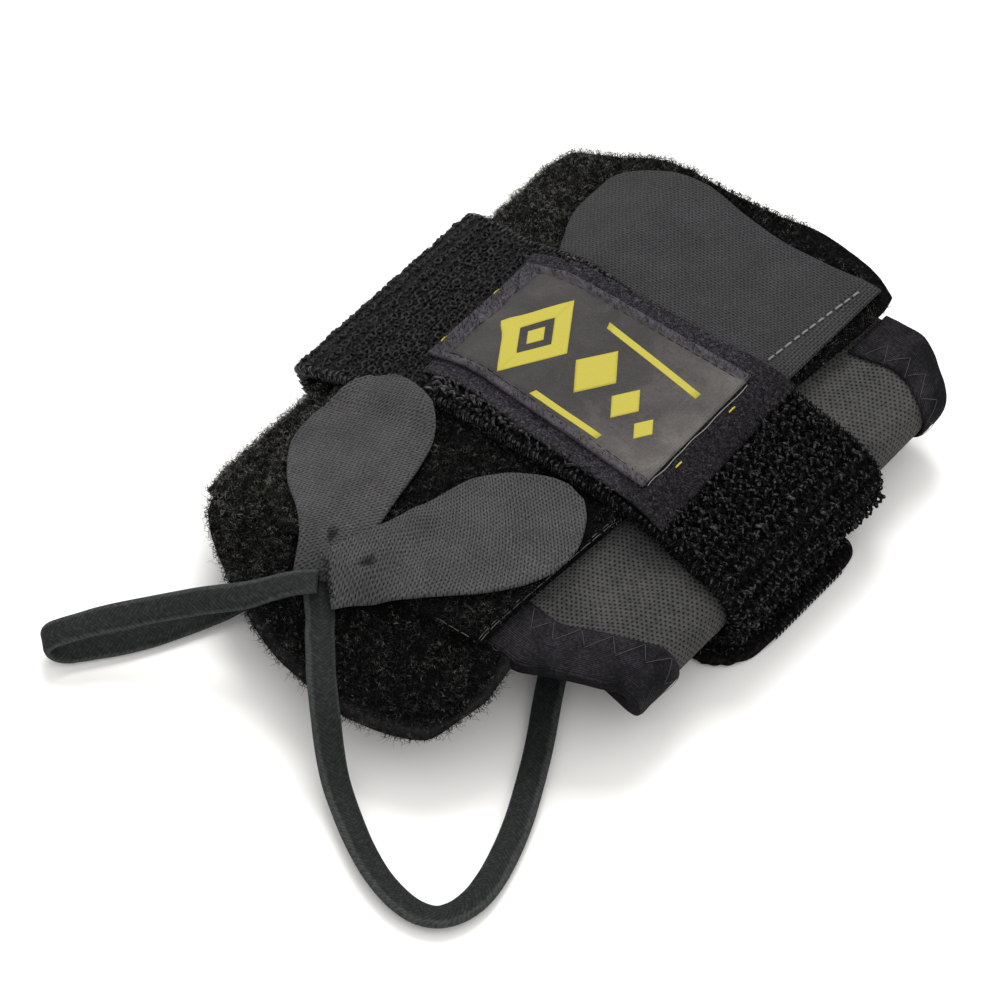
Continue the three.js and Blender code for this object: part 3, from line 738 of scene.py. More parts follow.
# Camera at the photograph's angle, from the near right and above.
camera = {"azimuth": 38.4, "elevation": 48.0, "distance": 1.1, "lens": 182.16}
camera["target"] = (-11.4, -3.74, -4.12)
azimuth, elevation = math.radians(camera["azimuth"]), math.radians(camera["elevation"])
level = math.cos(elevation)
back = Vector((math.sin(azimuth) * level, -math.cos(azimuth) * level, math.sin(elevation)))
lensData = bpy.data.cameras.new("camera")
lensData.lens = camera["lens"]
lensData.sensor_width = 36
lensData.clip_start = 0.01
eye = addObject("camera", lensData)
eye.location = Vector(camera["target"]) * 0.001 + back * camera["distance"]
eye.rotation_mode = "QUATERNION"
eye.rotation_quaternion = (-back).to_track_quat("-Z", "Y")
bpy.context.scene.camera = eye

# Flat elastic finger cords: x, y, z of the middle, then where the width
# points: turned from +X towards +Y, and lifted.
cordMakes = {
    "width": 6.2,
    "thickness": 1.9,
    "fingerCordFront": {
        "node": "finger_cord_front",
        "route": [
            (-13.9, -74.8, 20.8, -138, 0), (-11.3, -77.8, 19.4, -142, 0), (-8.7, -80.4, 18.3, -143, 0),
            (-6.6, -83.2, 17.5, -141, 0), (-3.6, -86.6, 16.6, -139, 0),
            (-0.5, -90.2, 16, -138, 0), (3.1, -93.9, 15.7, -134, -3), (6.4, -97.1, 13.6, -133, -2),
            (9.6, -100, 9, -131, 6), (14.1, -103.6, 5, -126, 12), (20.8, -108, 3.1, -122, 15),
            (27.9, -112.3, 2.6, -118, 18), (35.3, -115.8, 2.3, -110, 18), (42.4, -117.7, 2.1, -99, 14),
            (47.3, -117.7, 1.9, -80, 11), (51, -116.2, 1.9, -51, 11), (53.2, -112.9, 1.8, -21, 8),
            (54.1, -108, 1.7, -1, 4), (53.4, -101.9, 1.5, 12, 0), (51.2, -93.8, 1.5, 18, 0),
            (48.4, -86.3, 1.6, 23, 4), (45.1, -79.1, 1.8, 26, 6), (41.5, -71.9, 1.9, 27, 8),
            (38.3, -66, 2, 29, 8), (34.6, -59.6, 2.5, 29, 4), (30.8, -52.6, 3.2, 27, 0),
            (27.3, -45.2, 3.8, 25, 0), (24, -38, 4.2, 25, 0),
        ],
    },
    "fingerCordSide": {
        "node": "finger_cord_side",
        "route": [
            (-12.7, -76.2, 23.3, 122, 2), (-16.8, -79.1, 22.3, 120, 6), (-20.2, -81.7, 20.7, 121, 10),
            (-24.7, -85, 18.2, 123, 20), (-29.6, -88, 16.3, 124, 24), (-33.2, -90.3, 15, 126, 23),
            (-37.8, -93.7, 13.3, 129, 20), (-41.6, -96.8, 12, 132, 18), (-46.3, -101, 10.6, 135, 16),
            (-49.3, -104.1, 9.8, 138, 14), (-51.9, -107.4, 9.1, 140, 12), (-54.4, -110.4, 8.3, 141, 12),
            (-56.2, -112.1, 7.1, 141, 12), (-57, -112.8, 5.3, 141, 12), (-56.2, -112.1, 3.4, 141, 12),
            (-54.4, -110.4, 2.2, 141, 12), (-52.2, -107.8, 2, 141, 14), (-49.5, -104.5, 2, 142, 16),
            (-46.8, -101.2, 2.1, 144, 18), (-43.2, -95.7, 2.1, 149, 18), (-40.1, -89.7, 2.1, 153, 16),
            (-38.1, -85.5, 2.1, 154, 13), (-35.9, -80.8, 2.3, 156, 9), (-33.6, -75, 3, 159, 4),
            (-30.6, -66.5, 3.8, 161, 0), (-27.6, -57.5, 4.6, 163, 0), (-24.8, -48.5, 4.9, 165, 0),
            (-23, -42, 4.9, 166, 0),
        ],
    },
}


# centripetal curve through the route, with its other columns eased along it
def smoothRoute(route, count):
    rows = np.array(route, float)
    ends = [2 * rows[0] - rows[1], *rows, 2 * rows[-1] - rows[-2]]
    dense = []
    for k in range(1, len(ends) - 2):
        a, b, c, d = ends[k - 1 : k + 3]
        knots = [0.0]
        for p, q in ((a, b), (b, c), (c, d)):
            knots.append(knots[-1] + max(1e-6, np.linalg.norm((q - p)[:3])) ** 0.5)
        for t in np.linspace(knots[1], knots[2], 24, endpoint=False):
            a1 = (knots[1] - t) / (knots[1] - knots[0]) * a + (t - knots[0]) / (knots[1] - knots[0]) * b
            a2 = (knots[2] - t) / (knots[2] - knots[1]) * b + (t - knots[1]) / (knots[2] - knots[1]) * c
            a3 = (knots[3] - t) / (knots[3] - knots[2]) * c + (t - knots[2]) / (knots[3] - knots[2]) * d
            b1 = (knots[2] - t) / (knots[2] - knots[0]) * a1 + (t - knots[0]) / (knots[2] - knots[0]) * a2
            b2 = (knots[3] - t) / (knots[3] - knots[1]) * a2 + (t - knots[1]) / (knots[3] - knots[1]) * a3
            p = (knots[2] - t) / (knots[2] - knots[1]) * b1 + (t - knots[1]) / (knots[2] - knots[1]) * b2
            share = (t - knots[1]) / (knots[2] - knots[1])
            dense.append([*p[:3], *mix(b[3:], c[3:], float(smooth(share)))])
    dense.append(list(rows[-1]))
    dense = np.array(dense)
    gone = np.concatenate([[0], np.cumsum(np.linalg.norm(np.diff(dense[:, :3], axis=0), axis=1))])
    at = np.linspace(0, gone[-1], count)
    return np.stack([np.interp(at, gone, column) for column in dense.T], -1), gone[-1]


def makeCord(name):
    make = cordMakes[name]
    path, length = smoothRoute(make["route"], 190)
    line = path[:, :3]
    ahead = np.gradient(line, axis=0)
    ahead /= np.linalg.norm(ahead, axis=1)[:, None]
    heading, tilt = np.radians(path[:, 3]), np.radians(path[:, 4])
    wide = np.stack([np.cos(heading) * np.cos(tilt), np.sin(heading) * np.cos(tilt), np.sin(tilt)], -1)
    wide -= ahead * (wide * ahead).sum(1)[:, None]
    wide /= np.linalg.norm(wide, axis=1)[:, None]
    thick = np.cross(ahead, wide)
    sides = 20
    turn = np.arange(sides) * 2 * math.pi / sides
    # a flat band with well rounded edges
    across = np.sign(np.cos(turn)) * np.abs(np.cos(turn)) ** 0.62 * cordMakes["width"] / 2
    through = np.sign(np.sin(turn)) * np.abs(np.sin(turn)) ** 0.75 * cordMakes["thickness"] / 2
    rings = line[:, None] + wide[:, None] * across[None, :, None] + thick[:, None] * through[None, :, None]
    index = np.arange(len(line) * sides).reshape(len(line), sides)
    along = np.broadcast_to(np.linspace(0, length, len(line))[:, None], rings.shape[:2])
    cloth = np.stack([along, np.broadcast_to(across[None], rings.shape[:2])], -1)
    piece = makePiece(name, rings, [tubeQuads(index), np.array(tubeCaps(index))], looks["braid"], cloth)
    mergeAndFaceOut(piece)
    finishPiece(piece, "cord_braid", make["node"])
    return piece, (line - middle) * 0.001, length * 0.001


cords = {name: makeCord(name) for name in ("fingerCordFront", "fingerCordSide")}
print("cords made, mm:", [round(c[2] * 1000) for c in cords.values()])

# Finger tabs: "shape" gives the share of the half width along a tab, each
# tab's row its middle line, and "thickness" the room that the left tab takes
# under the right one. The pile of the loop fabric lies flat under both.
tabMakes = {
    "halfWidth": 15.6,
    "thickness": 1.8,
    "cloth": 1.15,
    "edge": 0.6,
    "long": 62,
    "wide": 31,
    "step": 0.9,
    "shape": [
        (0, 0.34), (0.12, 0.44), (0.3, 0.64), (0.5, 0.9), (0.68, 1), (0.82, 0.86), (0.92, 0.58),
        (0.97, 0.36), (1, 0.14),
    ],
    "fingerTabLeft": [(-14.5, -75.1), (-17.6, -64), (-26.3, -48.2), (-32.2, -36.6), (-38.9, -22.9)],
    "fingerTabRight": [(-11, -75.2), (-3.4, -66.6), (3.8, -57.2), (10.6, -44.4), (16.4, -26)],
}
tabHalf = track(tabMakes["shape"])


def tabLine(name, count):
    rows = [(x, y, 0, 0) for x, y in tabMakes[name]]
    return smoothRoute(rows, count)[0][:, :2]


# distance outside a tab's outline, negative inside it
def outsideTab(name, x, y):
    line = tabLine(name, 60)
    half = tabHalf(np.linspace(0, 1, 60)) * tabMakes["halfWidth"]
    gaps = np.hypot(x[..., None] - line[:, 0], y[..., None] - line[:, 1]) - half
    return gaps.min(-1)


def overFlap(y):
    return layers["flap"][1] + 0.35 - 2.7 * smooth((-70.4 - y) / 8)


# the left tab's head lies on the band's edge, the right tab's neck on the
# left tab's
def leftTabOffset(x, y):
    return overFlap(y) + 3.2 * smooth((y + 35) / 8.5)


def rightTabOffset(x, y):
    return overFlap(y) + (tabMakes["thickness"] + 0.35) * smooth((1 - x) / 6) * smooth((-47 - y) / 7)


def makeTab(name, node, offsetAt, seed, look):
    edge, step, long = tabMakes["edge"], tabMakes["step"], tabMakes["long"]
    shares = edgeSpaced(long, step, edge)
    samples = np.linspace(0, 1, 200)
    line = np.stack([np.interp(shares, samples, column) for column in tabLine(name, 200).T], -1)
    ahead = np.gradient(line, axis=0)
    ahead /= np.linalg.norm(ahead, axis=1)[:, None]
    crosses = edgeSpaced(tabMakes["wide"], step, edge) * 2 - 1
    reach = tabHalf(shares)[:, None] * tabMakes["halfWidth"] * crosses[None]
    x = line[:, :1] - ahead[:, 1:] * reach
    y = line[:, 1:] + ahead[:, :1] * reach
    s, t = np.broadcast_arrays(shares[:, None] * long, crosses[None])
    toEnd = np.minimum(s, long - s)
    toSide = (1 - np.abs(t)) * tabHalf(shares)[:, None] * tabMakes["halfWidth"]
    full = roundEdge(toEnd, edge) * roundEdge(toSide, edge)
    under = offsetAt(x, y) + 0.25 + 0.12 * unevenness(x, y, seed, 22)
    wave = 0.35 * smooth((np.abs(t) - 0.55) / 0.45) * (1 + unevenness(x, y, seed + 3, 30))
    wave = wave * smooth((s - 14) / 20)
    # a dart is sewn into the narrow end
    dart = smooth((s - 6.5) / 1.8) * smooth((11.4 - s) / 1.4)
    dart = dart * smooth((0.24 * (s - 5.5) + 0.5 - np.abs(reach)) / 1.1)
    half = tabMakes["cloth"] / 2
    outer = place(topAt(x), y, under + wave + half * (1 + full) - 0.5 * dart)
    low = place(topAt(x), y, under + wave + half * (1 - full))
    # the dart's mask is kept on the tab so that the hook tape paints a shadow into its colour there
    values = {"dart": np.tile(dart.ravel(), 2)}
    piece = twoFaced(name, looks[look], outer, low, np.stack([s, reach], -1), values)
    return finishPiece(piece, "hook_fabric", node)


tabs = [
    makeTab("fingerTabLeft", "finger_tab_left", leftTabOffset, 11, "hookLeft"),
    makeTab("fingerTabRight", "finger_tab_right", rightTabOffset, 17, "hookRight"),
]
print("finger tabs made")


# two edges of a piece from rows of one place and the two edges' y there
def tracks(rows):
    return [track([(row[0], row[k]) for row in rows]) for k in (1, 2)]


# Hook closure tab on the far part of the flap: x, then its near and far y.
closure = {"left": -39.6, "right": 30.8}
closureNear, closureFar = tracks([
    (-39.6, 47.5, 57), (-38.2, 42, 60.2), (-35.5, 36.5, 62.2), (-32, 30.6, 63.6), (-26, 29.9, 64.6),
    (-18, 28.6, 64.6), (-4, 27.2, 62), (8, 27.1, 60.6), (20, 27.1, 61.2), (30.8, 27.6, 62.8),
])

# Knitted band: lengths round the tube, then its near and far y.
bandNear, bandFar = tracks([
    (-11.8, -16, 11), (-10.6, -22, 15.5), (-8, -26.5, 17.4), (-3, -29.3, 18), (40, -29.5, 22),
    (88, -27, 32), (108, -24, 36), (topAt(-55), -27.5, 33.5), (topAt(-46), -26, 31.8),
    (topAt(-30), -24.9, 29.5), (topAt(-8), -24.6, 26.6), (topAt(36), -24.8, 26.6),
    (topAt(53), -25.5, 26.9), (girth + 6, -25, 26.5), (girth + 89, -24, 26),
])


# Where loop fabric shows, its pile grows; under other pieces it lies flat.
def freePile(length, y):
    x = xAt(length)
    grown = np.ones(np.shape(length))
    onTop = onTopSide(length)
    for name in ("fingerTabLeft", "fingerTabRight"):
        under = onTop & (outsideTab(name, x, y) < -0.8)
        grown[under] = 0
    underBand = (y > bandNear(length) + 1) & (y < bandFar(length) - 1)
    grown[underBand] = 0
    underClosure = (y > closureNear(x) + 0.8) & (y < closureFar(x) - 0.8) & (x > -39) & (x < 30.4)
    grown[onTop & underClosure] = 0
    return grown


# rows of the flap's sides are y and x, those of its far end share and y
flapLeft = track([
    (-70, -26), (-66.8, -31), (-63, -37), (-58.5, -41.5), (-52, -45), (-43, -47), (-10, -50),
    (31, -56), (58, -57), (64, -54.6), (67, -50.6),
])
flapRight = track([(-70, 24.7), (-33, 26.6), (28, 32.4), (60, 34), (67, 32.5)])
flapFar = track([
    (0, 64), (0.08, 67), (0.2, 69.6), (0.42, 67.4), (0.6, 68), (0.72, 69.8), (0.88, 68.2), (1, 64.8),
])
# x and y of the wing's edge; the wing runs on a little way under the binding
wingEdge = track([
    (-58, -58), (-52.8, -65.8), (-46.3, -72.6), (-37.4, -78.6), (-23, -86.4), (-11.9, -90.5),
    (-3.5, -92), (6.8, -93.8), (14.6, -92.8), (21.7, -90.6), (26.7, -87.6), (29.4, -83), (32.4, -75),
])
basePanel = {"bottomRight": 10, "topRight": 21, "far": 56.6}
wing = {"right": 32.4, "from": -64.4, "to": -66.4}
baseFrom, baseTo = bottomAt(basePanel["bottomRight"]), float(topAt(wing["right"]))
baseNarrow = float(topAt(basePanel["topRight"]))


def baseNear(s):
    length = baseFrom + (baseTo - baseFrom) * s
    x = xAt(length)
    fold = smooth((length - foldFrom) / (topFrom - foldFrom))
    return np.where(length < topFrom, mix(-61, -58, fold), wingEdge(x))


def makeBase():
    def right(y):
        narrow = smooth((np.asarray(y) - wing["to"]) / (wing["from"] - wing["to"]))
        return mix(baseTo, baseNarrow, narrow)

    # the wing keeps a plain rim along its near and right edges
    def pile(length, y, toSide, toEnd):
        x = xAt(length)
        plain = 2.4 * smooth((x + 6) / 14) * smooth((-60 - y) / 6) * (1 + 0.4 * unevenness(x, y, 6, 9))
        toRim = np.minimum(toSide, toEnd)
        fringe = 1.5 * np.exp(-((toRim / 0.8) ** 2)) * (y < -50)
        rim = 0.22 + 0.78 * smooth((toRim - plain) / 0.7) + fringe
        onTop = onTopSide(length)
        # pile is left off under the flap and also for 2.3 mm past its left edge, where the bare dark ground
        # paints the flap's shadow
        underFlapAndShadow = onTop & (x > flapLeft(y) - 2.3) & (y > -68.5)
        bottom = length < foldFrom - 1
        return freePile(length, y) * rim * np.where(underFlapAndShadow | bottom, 0, 1)

    def bare(length, y, toSide, toEnd):
        x = xAt(length)
        onWing = onTopSide(length) & (y < -56) & (x > -38)
        return onWing * smooth((2.6 - np.minimum(toSide, toEnd)) / 0.6)

    return clothPanel(
        "loopBasePanel", "loop_fabric", "loop_base_panel", "loopFabric",
        baseNear,
        always(basePanel["far"]),
        always(baseFrom),
        right,
        layers["base"],
        (1.8, 1.8),
        edge=1.1,
        relief=lambda length, y: 0.16 * unevenness(length, y, 3, 9) + 0.14 * unevenness(length, y, 4, 3),
        zones={"pile": pile, "bare": bare},
    )


def makeFlap():
    # the far edge keeps a plain rim towards the right
    def pile(length, y, toSide, toEnd):
        x = xAt(length)
        plain = 2.6 * smooth((x - 5) / 6) * smooth((y - 60) / 3)
        rim = smooth((np.minimum(toSide, toEnd) - plain) / 0.6)
        # the left edge is brushed up thicker
        brushed = 1 + 2.0 * np.exp(-((np.minimum(toSide, toEnd) / 1.2) ** 2)) * (x < 5)
        return freePile(length, y) * rim * brushed

    return clothPanel(
        "loopTopFlap", "loop_fabric", "loop_top_flap", "loopFabric",
        lambda s: -69.7 + 1.4 * smooth((0.3 - s) / 0.3) + 1.3 * smooth((s - 0.78) / 0.22),
        flapFar,
        lambda y: topAt(flapLeft(y)),
        lambda y: topAt(flapRight(y)),
        layers["flap"],
        (1.6, 1.6),
        edge=1.1,
        relief=lambda length, y: 0.2 * unevenness(length, y, 5, 9) + 0.16 * unevenness(length, y, 7, 3),
        zones={"pile": pile},
    )


baseCloth, flapCloth = makeBase(), makeFlap()
print("loop fabric made")

# A nylon loop rises, curls over and comes down again; single hairs stray
# further out and soften every outline.
loopFibres = [
    makeFibre("loopArch", [(0, 0, -0.2), (0.25, 0.1, 0.65), (0.8, 0.3, 0.7), (0.9, 0.8, 0.25)], 0.085),
    makeFibre("loopCurl", [(0, 0, -0.2), (-0.3, 0.25, 0.55), (0.15, 0.7, 0.85), (0.75, 0.3, 0.6)], 0.08),
    makeFibre("loopWave", [(0, 0, -0.2), (0.25, 0.3, 0.5), (-0.1, 0.75, 0.8), (0.35, 1.1, 0.95)], 0.07),
]
strayFibres = [
    makeFibre("strayHair", [(0, 0, -0.2), (0.15, 0.6, 1.3), (0.8, 1.5, 2.1)], 0.04),
    makeFibre("strayHairTurned", [(0, 0, -0.2), (-0.2, -0.3, 1.2), (0.7, 0.2, 2.2)], 0.036),
]
for name, ground, seed in (("loopBase", baseCloth, 4), ("loopFlap", flapCloth, 9)):
    growPile(name + "Pile", "loop_fabric", ground, loopFibres, "loopFilament", "loops", seed)
    growPile(name + "Strays", "loop_fabric", ground, strayFibres, "loopFilament", "strays", seed)

# Elastic panel and its bindings: lengths where the panel starts, stops and
# rises over the base, then its ends along Y at lengths round the tube.
elastic = {"from": float(topAt(22)), "to": girth + bottomAt(-45)}
elastic.update({"riseFrom": float(topAt(33.5)), "riseTo": float(topAt(45))})
elasticNear, elasticFar = tracks([
    (topAt(22), -66.2, 59.8), (topAt(32), -65.8, 60), (topAt(38), -63.2, 60.6), (topAt(43), -61, 60.4),
    (topAt(48), -58, 58.4), (topAt(52), -55.4, 55.5), (girth - 7, -53.6, 53), (girth + 1, -51.2, 53.5),
    (girth + 8, -50, 54.3), (girth + 16, -52, 55), (girth + 30, -55, 57), (girth + 93.5, -57, 58),
])
farBindingWidth = track([(topAt(34), 13.6), (topAt(43), 11.7), (topAt(50), 9.0), (girth - 7, 6.8)])


def elasticFaces(length):
    rise = smooth((length - elastic["riseFrom"]) / (elastic["riseTo"] - elastic["riseFrom"]))
    return [mix(layers["elasticLow"][k], layers["elasticHigh"][k], rise) for k in (0, 1)]


clothPanel(
    "elasticSidePanel", "grey_elastic", "elastic_side_panel", "elastic",
    overShare(elasticNear, elastic["from"], elastic["to"]),
    overShare(elasticFar, elastic["from"], elastic["to"]),
    always(elastic["from"]), always(elastic["to"]),
    elasticFaces,
    (1.6, 2.2),
    edge=0.8,
    relief=lambda length, y: 0.08 * unevenness(length, y, 8, 18),
)


# U-shaped section of tape round the elastic's edge: a share of the tape's
# width and an extra distance in from the edge, then the elastic's outer or
# under side and a distance out from it.
def makeBindingTape(name, node, edgeAt, inward, widthAt, startX, seed):
    gap, skin = 0.18, 0.95
    section = [(w, 0, 1, gap) for w in (1, 0.6, 0.25, 0)]
    section += [(0, -gap, 1, 0.0), (0, -gap, 0, 0.0)]
    section += [(w, -1.5 * w, 0, -gap) for w in (0, 0.3, 0.7, 1)]
    section += [(1, -1.25, 0, -gap - 0.25), (1, -1.5, 0, -skin)]
    section += [(w, -1.5 * w, 0, -skin) for w in (0.7, 0.3)]
    section += [(0, 0.3, 0, -skin), (0, -skin * 0.75, 0, -skin * 0.72), (0, -skin, 0, 0.0)]
    section += [(0, -skin, 1, 0.0), (0, -skin * 0.75, 1, skin * 0.72), (0, 0.3, 1, skin)]
    section += [(w, 0, 1, skin) for w in (0.25, 0.5, 0.75)]
    section += [(1, -0.2, 1, skin), (1, 0.25, 1, (gap + skin) / 2)]
    share, extra, side, out = [column[None] for column in np.array(section).T]
    lengths = np.arange(float(topAt(startX)), girth + bottomAt(11.2), 0.9)[:, None]
    under, outer = elasticFaces(lengths)
    offset = np.where(side > 0.5, outer, under) + out
    inset = share * widthAt(lengths) + extra
    pucker = 0.16 * unevenness(lengths, inset * 2, seed, 7) * (np.abs(out) > 0.6)
    y = edgeAt(lengths) + inward * (inset + 0.25 * unevenness(lengths, lengths * 0, seed, 11))
    points = place(lengths, y, offset + pucker)
    n = len(section)
    index = np.arange(len(lengths) * n).reshape(len(lengths), n)
    cloth = np.stack([np.broadcast_to(lengths, y.shape), inset + 40 * side], -1)
    work = makePiece(name, points, [tubeQuads(index)], looks["binding"], cloth)
    mesh = bmesh.new()
    mesh.from_mesh(work.data)
    bmesh.ops.holes_fill(mesh, edges=[e for e in mesh.edges if e.is_boundary], sides=0)
    bmesh.ops.triangulate(mesh, faces=[f for f in mesh.faces if len(f.verts) > 4])
    bmesh.ops.recalc_face_normals(mesh, faces=mesh.faces)
    mesh.to_mesh(work.data)
    mesh.free()
    finishPiece(work, "edge_binding", node)

    # zigzag stitches that hold the tape down, uneven as the machine left them
    rng = np.random.default_rng(seed)
    stitches, at, inner = [], float(lengths[0, 0]) + 3, True
    while at < lengths[-1, 0] - 3:
        step = rng.uniform(2.0, 3.0)
        wide = float(widthAt(at))
        ends = (wide - rng.uniform(0.5, 1.1), wide - min(wide * 0.6, 5.4) + rng.uniform(-0.4, 0.4))
        t = np.linspace(0, 1, 7)
        length = mix(at, at + step, t)
        inset = mix(*(ends if inner else ends[::-1]), t)
        bow = 0.08 + 0.16 * np.sin(t * math.pi)
        stitches.append(place(length, edgeAt(length) + inward * inset, elasticFaces(length)[1] + skin + bow))
        at, inner = at + step + 0.15, not inner
    sewThreads(name + "Zigzag", "edge_binding", "greyThread", stitches, radius=0.06)


makeBindingTape("nearEdgeBinding", "near_edge_binding", elasticNear, 1, always(12.5), 24.4, 21)
makeBindingTape("farEdgeBinding", "far_edge_binding", elasticFar, -1, farBindingWidth, 34.6, 25)
print("elastic panel and bindings made")

# Knitted band: ribs along Y every 2.35 mm, looped yarn eyelets at the left
# and shaggy terry loops at the right. Its first turn starts flat on the table.
knit = {"rib": 2.35, "stitch": 1.75, "from": -11.8, "to": girth + 89, "eyeletsTo": float(topAt(-31))}
patchCorners = {
    "nearLeft": (-31, -18.4), "nearRight": (35.8, -24.2), "farLeft": (-35.2, 25.5), "farRight": (33.4, 26),
}
labelCorners = {
    "nearLeft": (-33.2, -13.8), "nearRight": (27.4, -19.2), "farLeft": (-33, 21), "farRight": (26.8, 20.4),
}


# the four straight edges of a cornered piece: x of its sides for a y, and y
# of its ends for an x
def edgesOf(corners):
    def between(a, b, axis):
        (ax, ay), (bx, by) = corners[a], corners[b]
        if axis == "y":
            return lambda y: mix(ax, bx, (np.asarray(y, float) - ay) / (by - ay))
        return lambda x: mix(ay, by, (np.asarray(x, float) - ax) / (bx - ax))

    return {
        "left": between("nearLeft", "farLeft", "y"), "right": between("nearRight", "farRight", "y"),
        "near": between("nearLeft", "nearRight", "x"), "far": between("farLeft", "farRight", "x"),
    }


patchEdges, labelEdges = edgesOf(patchCorners), edgesOf(labelCorners)


# one end of a cornered piece, as y for the share of its width
def endOf(corners, end):
    start, stop = corners[end + "Left"][0], corners[end + "Right"][0]
    return overShare(edgesOf(corners)[end], start, stop)


def underPatch(length, y, more=0.5):
    x = xAt(length)
    top = onTopSide(length)
    sides = (x > patchEdges["left"](y) + more) & (x < patchEdges["right"](y) - more)
    return top & sides & (y > patchEdges["near"](x) + more) & (y < patchEdges["far"](x) - more)


def bandFaces(length):
    inner = smooth((length - 91) / 36)
    return [mix(layers["bandOuter"][k], layers["bandInner"][k], inner) for k in (0, 1)]


def ribRelief(length, y):
    crest = np.abs(np.sin(math.pi * length / knit["rib"]))
    waver = 0.12 * np.sin(2 * math.pi * y / knit["stitch"]) * crest
    onTable = 0.25 * (length < 88)
    return -0.75 * (1 - crest) ** 1.4 + waver + 0.1 * unevenness(length, y, 31, 12) - onTable


# hairs grow on the band's outer turn, outside the patch
def hairy(length, y, toSide, toEnd):
    return (length > foldFrom + 4) & (length < girth + 6) & ~underPatch(length, y)


bandCloth = clothPanel(
    "knitWrapBand", "knit_band", "knit_wrap_band", "knit",
    overShare(bandNear, knit["from"], knit["to"]),
    overShare(bandFar, knit["from"], knit["to"]),
    always(knit["from"]), always(knit["to"]),
    bandFaces,
    (0.5, 1.5),
    edge=1.0,
    relief=ribRelief,
    zones={"pile": hairy},
)
growPile("knitHairs", "knit_band", bandCloth, strayFibres, "knitTuft", "knitHairs", 33)
print("band made, faces", len(bandCloth.data.polygons))


# Stitches set on points of the cloth, each with its own turn and size.
def setStitches(name, points, ahead, out, spins, sizes, stitches, look):
    ahead = ahead / np.linalg.norm(ahead, axis=1)[:, None]
    out = out / np.linalg.norm(out, axis=1)[:, None]
    side = np.cross(out, ahead)
    ahead = np.cross(side, out)
    cos, sin = np.cos(spins)[:, None], np.sin(spins)[:, None]
    xAxis = ahead * cos + side * sin
    matrix = np.stack([xAxis, np.cross(out, xAxis), out], -1)
    turns = np.stack([
        np.arctan2(matrix[:, 2, 1], matrix[:, 2, 2]),
        -np.arcsin(np.clip(matrix[:, 2, 0], -1, 1)),
        np.arctan2(matrix[:, 1, 0], matrix[:, 0, 0]),
    ], -1)
    mesh = bpy.data.meshes.new(name + "Points")
    mesh.vertices.add(len(points))
    mesh.vertices.foreach_set("co", ((points - middle) * 0.001).astype(np.float32).ravel())
    carried = (("turn", "FLOAT_VECTOR", "vector", turns), ("size", "FLOAT", "value", sizes))
    for key, kind, field, values in carried:
        data = mesh.attributes.new(key, kind, "POINT").data
        data.foreach_set(field, np.asarray(values, np.float32).ravel())
    tree, ground = startTree("setStitches")
    turn = addNode(tree, "FunctionNodeEulerToRotation", {"Euler": namedValue(tree, "turn", "FLOAT_VECTOR")})
    plant(name, "knit_band", mesh, tree, stitches, ground, turn.outputs[0], namedValue(tree, "size"), look)


# A lattice of stitches on one face of the band: outer on most of it, under
# where the first turn lies on the table with that face up.
def stitchField(name, kinds, look, span, pitch, jitter, spin, sizes, keep, seed, side=1):
    rng = np.random.default_rng(seed)
    rib, stitch = pitch
    ribs = np.arange(math.ceil(span[0] / rib), math.floor(span[1] / rib)) * rib + rib / 2
    length, y = np.meshgrid(ribs, np.arange(-34, 40, stitch), indexing="ij")
    y = y + (np.round(length / rib) % 2) * stitch / 2
    length = length + rng.uniform(-jitter, jitter, length.shape)
    y = y + rng.uniform(-jitter, jitter, length.shape)
    inside = (y > bandNear(length) + 1.4) & (y < bandFar(length) - 1.4) & keep(length, y)
    length, y = length[inside], y[inside]
    surface = bandFaces(length)[side] + (-0.1 if side else 0.1)
    here = place(length, y, surface)
    ahead = place(length, y + 0.5, surface) - here
    out = place(length, y, surface + (0.6 if side else -0.6)) - here
    spins, scales = rng.uniform(-spin, spin, len(here)), rng.uniform(*sizes, len(here))
    setStitches(name, here, ahead, out, spins, scales, kinds, look)


def ringStitch(name, wide, long, rise, radius):
    turn = np.linspace(0, 2 * math.pi, 10)
    height = 0.22 + rise * np.cos(2 * turn) + 0.1 * np.sin(turn)
    line = np.stack([long * np.cos(turn), wide * np.sin(turn), height], -1)
    return sweepThreads(name, [line + middle], radius, looks["knit"], 5)


eyelets = [
    ringStitch("eyelet", wide=0.72, long=0.82, rise=0.12, radius=0.3),
    ringStitch("eyeletLong", wide=0.6, long=0.95, rise=0.2, radius=0.27),
    ringStitch("eyeletTight", wide=0.62, long=0.7, rise=0.3, radius=0.34),
]
terryLines = [
    [(0, -0.75, -0.4), (0.15, -0.7, 0.6), (0.3, -0.1, 1.15),
     (-0.1, 0.55, 1.1), (-0.25, 0.85, 0.4), (0.05, 0.9, -0.3)],
    [(-0.3, -0.6, -0.4), (-0.5, -0.35, 0.6), (0.0, 0.1, 1.35),
     (0.55, 0.35, 0.9), (0.35, 0.75, 0.1), (0.2, 0.8, -0.3)],
    [(0.2, -0.8, -0.4), (0.5, -0.5, 0.4), (0.1, 0.2, 0.85),
     (-0.45, 0.75, 1.1), (-0.3, 1.2, 0.6), (0.1, 1.1, -0.2)],
]
terryLoops = [
    sweepThreads("terryLoop" + mark, [np.array(line) * 1.15 + middle], 0.36, looks["knitTuft"], 5, 0.12)
    for mark, line in zip("ABC", terryLines)
]
for stitch in (*eyelets, *terryLoops):
    stitch.hide_render = True

